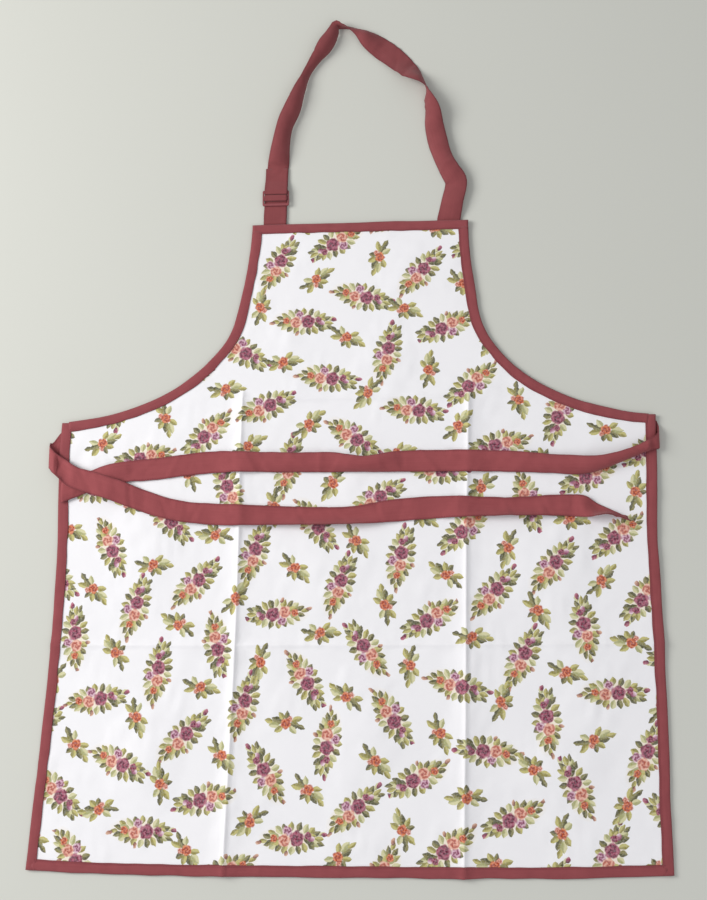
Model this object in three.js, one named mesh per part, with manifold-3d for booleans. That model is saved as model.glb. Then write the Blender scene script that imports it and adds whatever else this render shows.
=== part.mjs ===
// A kitchen apron lying face up: a thin cotton panel bound all round with folded tape, a neck strap that
// ends at a plastic slider, a short loop strap that holds the slider, and two waist ties laid over the front.
// Millimetres. +Z is up from the surface it lies on, +Y points from the hem to the neck, +X to the right.
import * as THREE from 'three';
import { mergeVertices } from 'three/addons/utils/BufferGeometryUtils.js';
import Module from 'manifold-3d';

const wasm = await Module();
wasm.setup();

// Cut sizes of the body
const bibWidth = 263;
const waistWidth = 703;
const hemWidth = 721;
const bibHeight = 245;
const skirtLength = 513;

// Cloth, binding tape and the gap kept between pieces
const clothThickness = 1;
const bindingWidth = 12;
const bindingWall = 1;
const seamGap = 0.3;
const restingGap = 0.8;
const wrapGap = 0.4;

// Neck strap: its width, how far the loop reaches past the bib, and where its ends sit on the bib
const strapWidth = 28;
const strapThickness = 1.2;
const neckLoopReach = 269;
const rightStrapInset = 23.5;
const leftStrapInset = 27;
const strapLap = 19;
const strapTail = 31;

// Slider: three bars and two slots, and how far its middle bar is from the bib's top edge
const sliderDistance = 34;
const sliderWidth = 32.5;
const sliderBar = 3.2;
const sliderSlot = 5.2;
const sliderThickness = 2;
const sliderCorner = 2;
const strapSideClearance = 0.5;

// Past the slider's top bar: where the strap and its tail have come down to rest
const strapSettle = 9.6;
const tailSettle = 14.4;

// Waist ties: width, how far each reaches across the front, how low they lie, how deep they are sewn in and
// how much the sewn end slants
const tieWidth = 25;
const leftTieReach = 672;
const rightTieReach = 697;
const tieDrop = 115;
const tieLap = 20;
const tieSlant = 5;

// How the cloth lies: out of square, pulled in at the sides, bowed at the hem
const lean = 0.0284;
const sideWander = 8;
const hemBow = 5.5;

// Pressed creases: from folding in three across and in three down, and how high and wide each stands
const foldSpacing = 268;
const creaseHeight = 3;
const creaseSpread = 24;
const skirtFoldDrop = 263;
const bibFoldRise = 25;
const crossCreaseHeight = 1.2;
const crossCreaseSpread = 18;

// Soft swells of the skirt and bib
const swellHeight = 2.2;

// Spacing of the sections that shape the cloth and the straps
const gridStep = 38;
const leastGridStep = 7.5;
const armholeSteps = 26;
const samplesPerStep = 4;
const ribbonStep = 12;
const ribbonTurn = 12;

const bibHalf = bibWidth / 2;
const waistHalf = waistWidth / 2;
const hemHalf = hemWidth / 2;
const foldHalf = foldSpacing / 2;
const panelBottom = bindingWall + seamGap;
const panelTop = panelBottom + clothThickness;
const tapeTop = panelTop + seamGap + bindingWall;
const underLift = strapThickness + wrapGap;
const sliderLength = 3 * sliderBar + 2 * sliderSlot;
const sliderSlotWidth = strapWidth + 2 * strapSideClearance;

// Armhole edge, as shares of the reach from bib to waist and of the bib height
const armholeEdge = [
  { reach: 0, rise: 1 },
  { reach: 0.007, rise: 0.87 },
  { reach: 0.022, rise: 0.75 },
  { reach: 0.044, rise: 0.635 },
  { reach: 0.062, rise: 0.54 },
  { reach: 0.083, rise: 0.465 },
  { reach: 0.124, rise: 0.392 },
  { reach: 0.175, rise: 0.333 },
  { reach: 0.255, rise: 0.254 },
  { reach: 0.36, rise: 0.18 },
  { reach: 0.47, rise: 0.125 },
  { reach: 0.6, rise: 0.076 },
  { reach: 0.79, rise: 0.028 },
  { reach: 1, rise: 0 },
];

// Side edges pulled in, as shares of the skirt length and of the wander
const sideEdge = [
  { down: 0, left: 0, right: 0 },
  { down: 0.13, left: 0.22, right: -0.12 },
  { down: 0.23, left: 0.75, right: -0.32 },
  { down: 0.33, left: 1.05, right: -0.25 },
  { down: 0.5, left: 1.25, right: 0.02 },
  { down: 0.68, left: 1.1, right: 0.18 },
  { down: 0.85, left: 0.75, right: 0.15 },
  { down: 1, left: 0.4, right: 0.25 },
];

// Soft swells: place and spread as shares of the half waist and the skirt length, height of the swell height
const swells = [
  { across: -0.68, down: 0.3, wide: 0.2, long: 0.18, high: 0.8 },
  { across: -0.05, down: 0.34, wide: 0.22, long: 0.12, high: 0.7 },
  { across: 0.66, down: 0.36, wide: 0.2, long: 0.13, high: 1 },
  { across: -0.66, down: 0.74, wide: 0.2, long: 0.16, high: 0.9 },
  { across: 0.08, down: 0.76, wide: 0.2, long: 0.16, high: 0.8 },
  { across: 0.68, down: 0.75, wide: 0.19, long: 0.16, high: 0.9 },
];

// Neck strap from the right end over the top to the slider: across as a share of that side's strap place,
// rise of the loop reach, turn is how far the outer edge has risen and gone over, gather of the width
const neckRoute = [
  { across: 1, rise: 0.007, turn: 0, gather: 1 },
  { across: 1.039, rise: 0.092, turn: 12, gather: 0.96 },
  { across: 1.076, rise: 0.184, turn: 14, gather: 0.97 },
  { across: 1.01, rise: 0.233, turn: 22, gather: 0.89 },
  { across: 0.926, rise: 0.303, turn: 18, gather: 0.83 },
  { across: 0.855, rise: 0.394, turn: 16, gather: 0.87 },
  { across: 0.818, rise: 0.466, turn: 22, gather: 0.85 },
  { across: 0.801, rise: 0.53, turn: 38, gather: 0.79 },
  { across: 0.753, rise: 0.594, turn: 62, gather: 0.64 },
  { across: 0.706, rise: 0.651, turn: 104, gather: 0.55 },
  { across: 0.576, rise: 0.706, turn: 146, gather: 0.93 },
  { across: 0.456, rise: 0.76, turn: 164, gather: 1.01 },
  { across: 0.325, rise: 0.811, turn: 173, gather: 1.04 },
  { across: 0.178, rise: 0.859, turn: 175, gather: 1.01 },
  { across: 0.031, rise: 0.902, turn: 168, gather: 0.84 },
  { across: -0.084, rise: 0.934, turn: 150, gather: 0.49 },
  { across: -0.191, rise: 0.955, turn: 114, gather: 0.42 },
  { across: -0.288, rise: 0.971, turn: 74, gather: 0.4 },
  { across: -0.35, rise: 0.976, turn: 52, gather: 0.46 },
  { across: -0.381, rise: 0.951, turn: 40, gather: 0.53 },
  { across: -0.414, rise: 0.916, turn: 36, gather: 0.66 },
  { across: -0.482, rise: 0.869, turn: 38, gather: 0.74 },
  { across: -0.572, rise: 0.818, turn: 44, gather: 0.56 },
  { across: -0.685, rise: 0.741, turn: 50, gather: 0.45 },
  { across: -0.773, rise: 0.649, turn: 42, gather: 0.63 },
  { across: -0.846, rise: 0.559, turn: 32, gather: 0.8 },
  { across: -0.919, rise: 0.488, turn: 32, gather: 0.77 },
  { across: -0.963, rise: 0.39, turn: 24, gather: 0.81 },
  { across: -0.981, rise: 0.307, turn: 12, gather: 0.92 },
  { across: -0.99, rise: 0.285, turn: 0, gather: 0.94 },
];

// Waist ties from the sewn end to the free end: along as a share of the reach from the side edge, drop of
// the tie drop, fold is 0 under the body and 1 over it, roll lifts one edge, gather of the width
const leftTieRoute = [
  { along: 0, drop: 0.226, fold: 0, roll: 0, gather: 1 },
  { along: -0.013, drop: 0.285, fold: 0.06, roll: 0, gather: 0.92 },
  { along: -0.0195, drop: 0.335, fold: 0.5, roll: 0, gather: 0.74 },
  { along: -0.014, drop: 0.395, fold: 0.97, roll: 0, gather: 0.76 },
  { along: 0.0022, drop: 0.475, fold: 1, roll: 12, gather: 0.88 },
  { along: 0.026, drop: 0.574, fold: 1, roll: 4, gather: 1 },
  { along: 0.069, drop: 0.657, fold: 1, roll: 0, gather: 1.04 },
  { along: 0.106, drop: 0.73, fold: 1, roll: 0, gather: 1.06 },
  { along: 0.173, drop: 0.874, fold: 1, roll: 4, gather: 1 },
  { along: 0.218, drop: 0.94, fold: 1, roll: 6, gather: 0.98 },
  { along: 0.285, drop: 0.977, fold: 1, roll: 0, gather: 1.02 },
  { along: 0.359, drop: 0.991, fold: 1, roll: 8, gather: 0.95 },
  { along: 0.523, drop: 1, fold: 1, roll: 20, gather: 0.9 },
  { along: 0.594, drop: 0.957, fold: 1, roll: 0, gather: 1.04 },
  { along: 0.672, drop: 0.926, fold: 1, roll: 0, gather: 1.04 },
  { along: 0.806, drop: 0.927, fold: 1, roll: 16, gather: 0.9 },
  { along: 0.907, drop: 0.93, fold: 1, roll: 6, gather: 1 },
  { along: 0.94, drop: 0.948, fold: 1, roll: 32, gather: 0.95 },
  { along: 0.959, drop: 0.965, fold: 1, roll: 62, gather: 0.75 },
  { along: 0.981, drop: 1.017, fold: 1, roll: 78, gather: 0.65 },
  { along: 1, drop: 1.06, fold: 1, roll: 84, gather: 0.6 },
];
const rightTieRoute = [
  { along: 0, drop: 0.19, fold: 0, roll: 0, gather: 1 },
  { along: -0.0035, drop: 0.215, fold: 0.06, roll: 0, gather: 0.88 },
  { along: -0.005, drop: 0.24, fold: 0.5, roll: 0, gather: 0.72 },
  { along: -0.0015, drop: 0.28, fold: 0.95, roll: 6, gather: 0.6 },
  { along: 0.0237, drop: 0.35, fold: 1, roll: 26, gather: 0.46 },
  { along: 0.0624, drop: 0.443, fold: 1, roll: 32, gather: 0.55 },
  { along: 0.0997, drop: 0.504, fold: 1, roll: 26, gather: 0.73 },
  { along: 0.127, drop: 0.516, fold: 1, roll: 16, gather: 0.88 },
  { along: 0.17, drop: 0.499, fold: 1, roll: 12, gather: 0.88 },
  { along: 0.229, drop: 0.472, fold: 1, roll: 6, gather: 0.97 },
  { along: 0.296, drop: 0.458, fold: 1, roll: 0, gather: 1.02 },
  { along: 0.428, drop: 0.454, fold: 1, roll: 0, gather: 0.99 },
  { along: 0.484, drop: 0.478, fold: 1, roll: 20, gather: 0.75 },
  { along: 0.537, drop: 0.456, fold: 1, roll: 12, gather: 0.92 },
  { along: 0.609, drop: 0.451, fold: 1, roll: 8, gather: 0.93 },
  { along: 0.681, drop: 0.441, fold: 1, roll: 0, gather: 0.97 },
  { along: 0.745, drop: 0.438, fold: 1, roll: 0, gather: 1.04 },
  { along: 0.791, drop: 0.464, fold: 1, roll: 0, gather: 1.04 },
  { along: 0.844, drop: 0.502, fold: 1, roll: 0, gather: 1.03 },
  { along: 0.886, drop: 0.522, fold: 1, roll: 4, gather: 1 },
  { along: 0.913, drop: 0.543, fold: 1, roll: 8, gather: 0.95 },
  { along: 0.949, drop: 0.61, fold: 1, roll: 0, gather: 0.95 },
  { along: 1.004, drop: 0.735, fold: 1, roll: 0, gather: 0.95 },
];

const burgundyTape = { color: 0x8f444b, roughness: 0.85, metalness: 0 };
const printedCotton = { color: 0xeceaf0, roughness: 0.9, metalness: 0 };
const burgundyPlastic = { color: 0x7c3a40, roughness: 0.45, metalness: 0 };

function clamp(value, low, high) {
  return Math.min(high, Math.max(low, value));
}

// Value of one column of a table at a place given by another, straight between rows
function fromTable(rows, key, at, column) {
  let i = 0;
  while (i < rows.length - 2 && at > rows[i + 1][key]) {
    i += 1;
  }
  const a = rows[i];
  const b = rows[i + 1];
  const share = clamp((at - a[key]) / (b[key] - a[key]), 0, 1);
  return a[column] + (b[column] - a[column]) * share;
}

function cusp(distance, spread) {
  const near = clamp(1 - Math.abs(distance) / spread, 0, 1);
  return near * near;
}

function bump(distance, spread) {
  return Math.abs(distance) < spread ? Math.cos((Math.PI * distance) / (2 * spread)) ** 2 : 0;
}

function halfWidthAt(y) {
  return waistHalf + (hemHalf - waistHalf) * clamp(-y / skirtLength, 0, 1);
}

// Height of the body over the surface: over the sewn strap ends above the ties, down to it at the hem
function liftAt(y) {
  const hemFlat = -skirtLength + 2 * bindingWidth;
  const share = clamp((y - hemFlat) / (-tieDrop / 2 - hemFlat), 0, 1);
  return underLift * share;
}

// Height of creases and swells at a place on the flat pattern
function reliefAt(x, y) {
  const creaseStart = bibFoldRise + crossCreaseSpread;
  const started = clamp((creaseStart - y) / crossCreaseSpread, 0, 1);
  let height = creaseHeight * cusp(Math.abs(x) - foldHalf, creaseSpread) * started;
  height = Math.max(height, crossCreaseHeight * cusp(y + skirtFoldDrop, crossCreaseSpread));
  const insideBib = clamp((bibHalf + bindingWidth - Math.abs(x)) / bindingWidth, 0, 1);
  height = Math.max(height, crossCreaseHeight * cusp(y - bibFoldRise, crossCreaseSpread) * insideBib);
  for (const swell of swells) {
    const dx = bump(x - swell.across * waistHalf, swell.wide * waistHalf);
    const dy = bump(y + swell.down * skirtLength, swell.long * skirtLength);
    height += swellHeight * swell.high * dx * dy;
  }
  return height;
}

// Takes a point of the flat pattern to where it lies
function lay(x, y, z) {
  const down = clamp(-y / skirtLength, 0, 1);
  const side = clamp(x / halfWidthAt(y), -1, 1);
  const pull = side < 0 ? fromTable(sideEdge, 'down', down, 'left') : fromTable(sideEdge, 'down', down, 'right');
  const bow = hemBow * (1 - side ** 4) * down * down;
  return new THREE.Vector3(
    x + lean * y + sideWander * pull * Math.abs(side),
    y - bow,
    z + liftAt(y) + reliefAt(x, y),
  );
}

// Regular stations with the named ones kept exactly
function stations(from, to, named) {
  const count = Math.ceil((to - from) / gridStep);
  const kept = named.filter((v) => v > from && v < to);
  for (let i = 0; i <= count; i += 1) {
    const v = from + ((to - from) * i) / count;
    if (kept.every((k) => Math.abs(k - v) > leastGridStep) || i === 0 || i === count) {
      kept.push(v);
    }
  }
  return kept.sort((a, b) => a - b);
}

function creaseStations(centre, spread) {
  return [centre - spread, centre - spread / 2, centre, centre + spread / 2, centre + spread];
}

const columnStations = stations(-hemHalf - bindingWidth, hemHalf + bindingWidth, [
  ...creaseStations(-foldHalf, creaseSpread),
  ...creaseStations(foldHalf, creaseSpread),
]);
const rowStations = stations(-skirtLength - bindingWidth, bibHeight + bindingWidth, [
  -skirtLength + 2 * bindingWidth,
  ...creaseStations(-skirtFoldDrop, crossCreaseSpread),
  ...creaseStations(bibFoldRise, crossCreaseSpread),
  -tieDrop / 2,
  ...sideEdge.slice(1, -1).map((row) => -row.down * skirtLength),
]);

// One closed mesh from points and triangles, turned so that its faces point out
function closedMesh(name, points, triangles, finish) {
  const geometry = new THREE.BufferGeometry();
  const flat = new Float32Array(points.length * 3);
  points.forEach((p, i) => p.toArray(flat, i * 3));
  let volume = 0;
  for (const [a, b, c] of triangles) {
    volume += points[a].dot(points[b].clone().cross(points[c]));
  }
  const turned = volume < 0 ? triangles.map(([a, b, c]) => [a, c, b]) : triangles;
  geometry.setAttribute('position', new THREE.BufferAttribute(flat, 3));
  geometry.setIndex(turned.flat());
  return namedMesh(name, geometry, finish);
}

function namedMesh(name, geometry, finish) {
  const mesh = new THREE.Mesh(geometry, new THREE.MeshStandardMaterial(finish));
  mesh.name = name;
  return mesh;
}

function toManifold(geometry) {
  const bare = geometry.clone();
  bare.deleteAttribute('normal');
  bare.deleteAttribute('uv');
  const merged = mergeVertices(bare);
  return new wasm.Manifold(new wasm.Mesh({
    numProp: 3,
    vertProperties: merged.attributes.position.array,
    triVerts: Uint32Array.from(merged.index.array),
  }));
}

function fromManifold(solid) {
  const cut = solid.getMesh();
  const geometry = new THREE.BufferGeometry();
  geometry.setAttribute('position', new THREE.BufferAttribute(Float32Array.from(cut.vertProperties), 3));
  geometry.setIndex([...cut.triVerts]);
  return geometry;
}

// Joins rings of equally many points into one closed skin; the end rings are filled flat. Walls that face
// each other are split along the same diagonal, so that a twisted thin wall keeps its thickness
function skin(name, rings, outline, finish) {
  const size = rings[0].length;
  const triangles = [];
  for (let j = 0; j < size; j += 1) {
    const next = (j + 1) % size;
    const across = outline[next].x - outline[j].x;
    const up = outline[next].y - outline[j].y;
    const forward = across > 0 || (across === 0 && up > 0);
    for (let i = 0; i < rings.length - 1; i += 1) {
      const a = i * size + j;
      const b = i * size + next;
      if (forward) {
        triangles.push([a, b, b + size], [a, b + size, a + size]);
      } else {
        triangles.push([a, b, a + size], [b, b + size, a + size]);
      }
    }
  }
  const last = (rings.length - 1) * size;
  const turn = Math.sign(THREE.ShapeUtils.area(outline));
  for (const face of THREE.ShapeUtils.triangulateShape(outline, [])) {
    const same = Math.sign(THREE.ShapeUtils.area(face.map((i) => outline[i]))) === turn;
    const [a, b, c] = same ? face : [...face].reverse();
    triangles.push([c, b, a], [last + a, last + b, last + c]);
  }
  return closedMesh(name, rings.flat(), triangles, finish);
}

// Folded binding tape: a U round the cloth's edge, from pairs of outer and inner points of the pattern
function bindingTape(name, pairs) {
  const profile = [
    [0, 0], [0, tapeTop],
    [bindingWidth, tapeTop], [bindingWidth, tapeTop - bindingWall],
    [bindingWall, tapeTop - bindingWall], [bindingWall, bindingWall],
    [bindingWidth, bindingWall], [bindingWidth, 0],
  ];
  const rings = pairs.map(({ outer, inward }) => profile.map(
    ([depth, height]) => lay(outer[0] + inward[0] * depth, outer[1] + inward[1] * depth, height),
  ));
  return skin(name, rings, profile.map(([d, h]) => new THREE.Vector2(d, h)), burgundyTape);
}

// The armhole edge of one side, from the bib's top to the waist corner
const armholeCurve = new THREE.CatmullRomCurve3(armholeEdge.map(
  (row) => new THREE.Vector3(bibHalf + (waistHalf - bibHalf) * row.reach, bibHeight * row.rise, 0),
));

function armholePairs(side) {
  const pairs = [];
  const startY = bibHeight - bindingWidth - seamGap;
  const endX = waistHalf - bindingWidth - seamGap;
  const points = armholeCurve.getSpacedPoints(armholeSteps * samplesPerStep);
  const first = points.findIndex((p) => p.y <= startY);
  const firstX = lerpAt(points[first - 1], points[first], 'y', startY, 'x');
  pairs.push({ outer: [side * firstX, startY], inward: [-side, 0] });
  for (let i = 1; i < armholeSteps; i += 1) {
    const p = armholeCurve.getPointAt(i / armholeSteps);
    const t = armholeCurve.getTangentAt(i / armholeSteps);
    if (p.y < startY - bindingWall && p.x < endX - bindingWall) {
      pairs.push({ outer: [side * p.x, p.y], inward: [side * t.y, -t.x] });
    }
  }
  const last = points.findIndex((p) => p.x >= endX);
  const lastY = lerpAt(points[last - 1], points[last], 'x', endX, 'y');
  pairs.push({ outer: [side * endX, lastY], inward: [0, -1] });
  return pairs;
}

function lerpAt(a, b, key, value, wanted) {
  return a[wanted] + ((b[wanted] - a[wanted]) * (value - a[key])) / (b[key] - a[key]);
}

function bodyPanel() {
  // A thin sheet over the whole lay-out, cut to the body's outline inside its binding
  const points = [];
  for (const height of [panelBottom, panelTop]) {
    for (const y of rowStations) {
      for (const x of columnStations) {
        points.push(lay(x, y, height));
      }
    }
  }
  const columns = columnStations.length;
  const rows = rowStations.length;
  const above = rows * columns;
  const triangles = [];
  for (let r = 0; r < rows - 1; r += 1) {
    for (let c = 0; c < columns - 1; c += 1) {
      const a = r * columns + c;
      const b = a + 1;
      const d = a + columns;
      const e = d + 1;
      triangles.push([a, e, b], [a, d, e], [a + above, b + above, e + above], [a + above, e + above, d + above]);
    }
  }
  const rim = [];
  for (let c = 0; c < columns - 1; c += 1) {
    rim.push(c);
  }
  for (let r = 0; r < rows - 1; r += 1) {
    rim.push(r * columns + columns - 1);
  }
  for (let c = columns - 1; c > 0; c -= 1) {
    rim.push((rows - 1) * columns + c);
  }
  for (let r = rows - 1; r > 0; r -= 1) {
    rim.push(r * columns);
  }
  rim.forEach((a, i) => {
    const b = rim[(i + 1) % rim.length];
    triangles.push([a, b, b + above], [a, b + above, a + above]);
  });
  const sheet = closedMesh('sheet', points, triangles, printedCotton);

  const inset = bindingWall + seamGap;
  const outline = [];
  const corner = (x, y) => outline.push(lay(x, y, 0));
  const rowsOnSide = rowStations.filter((y) => y < -inset - seamGap && y > -skirtLength + inset + seamGap);
  const columnsOnHem = columnStations.filter((x) => Math.abs(x) < hemHalf - inset - seamGap);
  const columnsOnTop = columnStations.filter((x) => Math.abs(x) < bibHalf - inset - seamGap);
  const rightArmhole = armholePairs(1).slice(1, -1);
  corner(-bibHalf + inset, bibHeight - inset);
  columnsOnTop.forEach((x) => corner(x, bibHeight - inset));
  corner(bibHalf - inset, bibHeight - inset);
  rightArmhole.forEach(({ outer, inward }) => corner(outer[0] + inward[0] * inset, outer[1] + inward[1] * inset));
  corner(waistHalf - inset, -inset);
  [...rowsOnSide].reverse().forEach((y) => corner(halfWidthAt(y) - inset, y));
  corner(hemHalf - inset, -skirtLength + inset);
  [...columnsOnHem].reverse().forEach((x) => corner(x, -skirtLength + inset));
  corner(-hemHalf + inset, -skirtLength + inset);
  rowsOnSide.forEach((y) => corner(-halfWidthAt(y) + inset, y));
  corner(-waistHalf + inset, -inset);
  [...rightArmhole].reverse().forEach(
    ({ outer, inward }) => corner(-outer[0] - inward[0] * inset, outer[1] + inward[1] * inset),
  );
  const deepEnough = tapeTop + creaseHeight + swellHeight + underLift;
  const cutter = new THREE.ExtrudeGeometry(
    new THREE.Shape(outline.map((p) => new THREE.Vector2(p.x, p.y))),
    { depth: 2 * deepEnough, bevelEnabled: false },
  );
  cutter.translate(0, 0, -deepEnough / 2);
  const cut = toManifold(sheet.geometry).intersect(toManifold(cutter));
  return namedMesh('body_panel', fromManifold(cut), printedCotton);
}

// A flat strap through sections of place, side direction, roll and width. A side direction that isn't square
// to the travel gives a slanting section, as where a tie folds over at an angle
function ribbon(name, sections, thickness) {
  const rings = sections.map((section, i) => {
    const before = sections[Math.max(0, i - 1)].at;
    const after = sections[Math.min(sections.length - 1, i + 1)].at;
    const travel = after.clone().sub(before).normalize();
    const side = section.side.clone().normalize();
    const normal = side.clone().cross(travel).normalize();
    const width = section.width / Math.sqrt(1 - side.dot(travel) ** 2);
    side.applyAxisAngle(travel, THREE.MathUtils.degToRad(-section.roll));
    normal.applyAxisAngle(travel, THREE.MathUtils.degToRad(-section.roll));
    const corner = (s, n) => section.at.clone()
      .addScaledVector(side, (s * width) / 2)
      .addScaledVector(normal, (n * thickness) / 2);
    return [corner(-1, -1), corner(1, -1), corner(1, 1), corner(-1, 1)];
  });
  const outline = [[-1, -1], [1, -1], [1, 1], [-1, 1]].map(([x, y]) => new THREE.Vector2(x, y));
  return skin(name, rings, outline, burgundyTape);
}

// Samples along a table of rows: a smooth line through their places, other columns straight between rows
function alongRows(rows, place) {
  const places = rows.map(place);
  const curve = new THREE.CatmullRomCurve3(places);
  const samples = [];
  rows.forEach((row, i) => {
    if (i === rows.length - 1) {
      samples.push({ ...row, at: places[i] });
      return;
    }
    const bend = Math.abs((rows[i + 1].turn ?? rows[i + 1].roll) - (row.turn ?? row.roll));
    const steps = Math.max(places[i].distanceTo(places[i + 1]) / ribbonStep, bend / ribbonTurn);
    const count = Math.max(1, Math.round(steps));
    for (let j = 0; j < count; j += 1) {
      const share = j / count;
      const sample = { at: curve.getPoint((i + share) / (rows.length - 1)) };
      for (const key of Object.keys(row)) {
        sample[key] = row[key] + (rows[i + 1][key] - row[key]) * share;
      }
      samples.push(sample);
    }
  });
  return samples;
}

// Station cell that holds a value, and how far across it the value lies
function cellOf(list, value) {
  let i = 0;
  while (i < list.length - 2 && value > list[i + 1]) {
    i += 1;
  }
  return [i, clamp((value - list[i]) / (list[i + 1] - list[i]), 0, 1)];
}

// Relief of the panel as its faces have it, straight between the stations
function facetedRelief(x, y) {
  const [c, across] = cellOf(columnStations, x);
  const [r, along] = cellOf(rowStations, y);
  const row = (i) => THREE.MathUtils.lerp(
    reliefAt(columnStations[c], rowStations[i]),
    reliefAt(columnStations[c + 1], rowStations[i]),
    across,
  );
  return THREE.MathUtils.lerp(row(r), row(r + 1), along);
}

// Top of the body at a pattern place, with the tape at its side edges
function bodyTop(x, y) {
  const edge = halfWidthAt(y);
  const inside = clamp(x, -edge, edge);
  const onTape = Math.abs(inside) > edge - bindingWidth - clothThickness || y < -skirtLength + bindingWidth;
  return (onTape ? tapeTop : panelTop) + liftAt(y) + facetedRelief(inside, y);
}

// Top of the sections below a place, where a strap crosses another
function topOfSections(at, below) {
  let top = 0;
  for (const section of below) {
    const reach = section.width / 2 + ribbonStep / 2;
    if (Math.hypot(section.at.x - at.x, section.at.y - at.y) < reach) {
      const rolled = Math.abs(Math.sin(THREE.MathUtils.degToRad(section.roll))) * section.width;
      top = Math.max(top, section.at.z + rolled / 2 + strapThickness / 2);
    }
  }
  return top;
}

function tieSections(route, sideSign, reach, below) {
  const place = (row) => new THREE.Vector3(sideSign * (waistHalf - row.along * reach), -row.drop * tieDrop, 0);
  const samples = alongRows(route, place);
  const start = samples[0].at;
  samples.unshift({ ...samples[0], at: new THREE.Vector3(start.x - sideSign * tieLap, start.y + tieSlant, 0) });
  return samples.map((sample) => {
    const { x, y } = sample.at;
    const width = tieWidth * sample.gather;
    const laid = lay(x, y, 0);
    let support = 0;
    for (const dx of [-ribbonStep, -ribbonStep / 2, 0, ribbonStep / 2, ribbonStep]) {
      for (const dy of [-width / 2, -width / 4, 0, width / 4, width / 2]) {
        support = Math.max(support, bodyTop(x + dx, y + dy));
        support = Math.max(support, topOfSections(new THREE.Vector3(laid.x + dx, laid.y + dy, 0), below));
      }
    }
    const rolled = (Math.abs(Math.sin(THREE.MathUtils.degToRad(sample.roll))) * width) / 2;
    const under = strapThickness / 2;
    const over = support + restingGap + strapThickness / 2 + rolled;
    laid.z = under + (over - under) * sample.fold;
    return { at: laid, side: new THREE.Vector3(0, 1, 0), roll: sample.roll * sample.fold, width };
  });
}

// Rounds the corners of a path seen from the side, given as along and height
function roundedPath(corners, radius) {
  const steps = 3;
  const path = [corners[0]];
  for (let i = 1; i < corners.length - 1; i += 1) {
    const before = new THREE.Vector2(...corners[i - 1]);
    const here = new THREE.Vector2(...corners[i]);
    const after = new THREE.Vector2(...corners[i + 1]);
    const start = here.clone().add(before.sub(here).setLength(radius));
    const end = here.clone().add(after.sub(here).setLength(radius));
    for (let j = 0; j <= steps; j += 1) {
      const share = j / steps;
      const a = start.clone().lerp(here, share);
      const b = here.clone().lerp(end, share);
      path.push(a.lerp(b, share).toArray());
    }
  }
  path.push(corners[corners.length - 1]);
  return path;
}

const rightStrapPlace = bibHalf - rightStrapInset;
const leftStrapPlace = bibHalf - leftStrapInset;
const sliderAlong = bibHeight + sliderDistance;
const barPitch = sliderBar + sliderSlot;
const wrapOffset = wrapGap + strapThickness / 2;
const sliderBottom = 2 * strapThickness + 2 * seamGap;
const sliderTop = sliderBottom + sliderThickness;
const foldRadius = 0.8;

function leaned(x, y, z) {
  return new THREE.Vector3(x + lean * y, y, z);
}

function neckStrap() {
  const place = (row) => {
    const base = row.across > 0 ? rightStrapPlace : leftStrapPlace;
    return leaned(row.across * base, bibHeight + row.rise * neckLoopReach, 0);
  };
  const samples = alongRows(neckRoute, place);
  samples.unshift({ ...samples[0], at: leaned(rightStrapPlace, bibHeight - strapLap, 0) });
  const sections = samples.map((sample, i) => {
    const travel = samples[Math.min(samples.length - 1, i + 1)].at.clone().sub(samples[Math.max(0, i - 1)].at);
    const width = strapWidth * sample.gather;
    const turn = THREE.MathUtils.degToRad(sample.turn);
    const at = sample.at.clone();
    at.z = (Math.abs(Math.sin(turn)) * width + Math.abs(Math.cos(turn)) * strapThickness) / 2;
    return { at, side: new THREE.Vector3(travel.y, -travel.x, 0), roll: sample.turn, width };
  });

  // The end goes under the slider's top bar, up through the slot and back over the bar on itself
  const topBar = sliderAlong + barPitch;
  const underBar = sliderBottom - wrapOffset;
  const overBar = sliderTop + wrapOffset;
  const inSlot = topBar - sliderBar / 2 - wrapOffset;
  const onItself = strapThickness * 1.5 + seamGap;
  const path = roundedPath([
    [topBar + strapSettle, strapThickness / 2],
    [topBar + sliderBar, underBar],
    [inSlot, underBar],
    [inSlot, overBar],
    [topBar + sliderBar / 2, overBar],
    [topBar + tailSettle, onItself + seamGap],
    [topBar + strapTail, onItself],
  ], foldRadius);
  for (const [along, height] of path) {
    const at = leaned(-leftStrapPlace, along, height);
    sections.push({ at, side: new THREE.Vector3(-1, 0, 0), roll: 0, width: strapWidth });
  }
  return ribbon('neck_strap', sections, strapThickness);
}

function buckleLoop() {
  // From behind the bib under the slider, round its middle bar and back, ending at the bib's edge
  const underMiddle = strapThickness / 2;
  const returning = strapThickness * 1.5 + seamGap;
  const overMiddle = sliderTop + wrapOffset;
  const beyond = sliderAlong + sliderBar / 2 + wrapOffset;
  const before = sliderAlong - sliderBar / 2 - wrapOffset;
  const path = roundedPath([
    [bibHeight - strapLap, underMiddle],
    [beyond, underMiddle],
    [beyond, overMiddle],
    [before, overMiddle],
    [before, returning],
    [bibHeight + seamGap, returning],
  ], foldRadius);
  const sections = path.map(([along, height]) => (
    { at: leaned(-leftStrapPlace, along, height), side: new THREE.Vector3(1, 0, 0), roll: 0, width: strapWidth }
  ));
  return ribbon('buckle_loop', sections, strapThickness);
}

function roundedRectangle(width, length, corner) {
  const shape = new THREE.Shape();
  const x = width / 2;
  const y = length / 2;
  shape.moveTo(-x + corner, -y);
  shape.lineTo(x - corner, -y);
  shape.absarc(x - corner, -y + corner, corner, -Math.PI / 2, 0, false);
  shape.lineTo(x, y - corner);
  shape.absarc(x - corner, y - corner, corner, 0, Math.PI / 2, false);
  shape.lineTo(-x + corner, y);
  shape.absarc(-x + corner, y - corner, corner, Math.PI / 2, Math.PI, false);
  shape.lineTo(-x, -y + corner);
  shape.absarc(-x + corner, -y + corner, corner, Math.PI, 1.5 * Math.PI, false);
  return shape;
}

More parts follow.
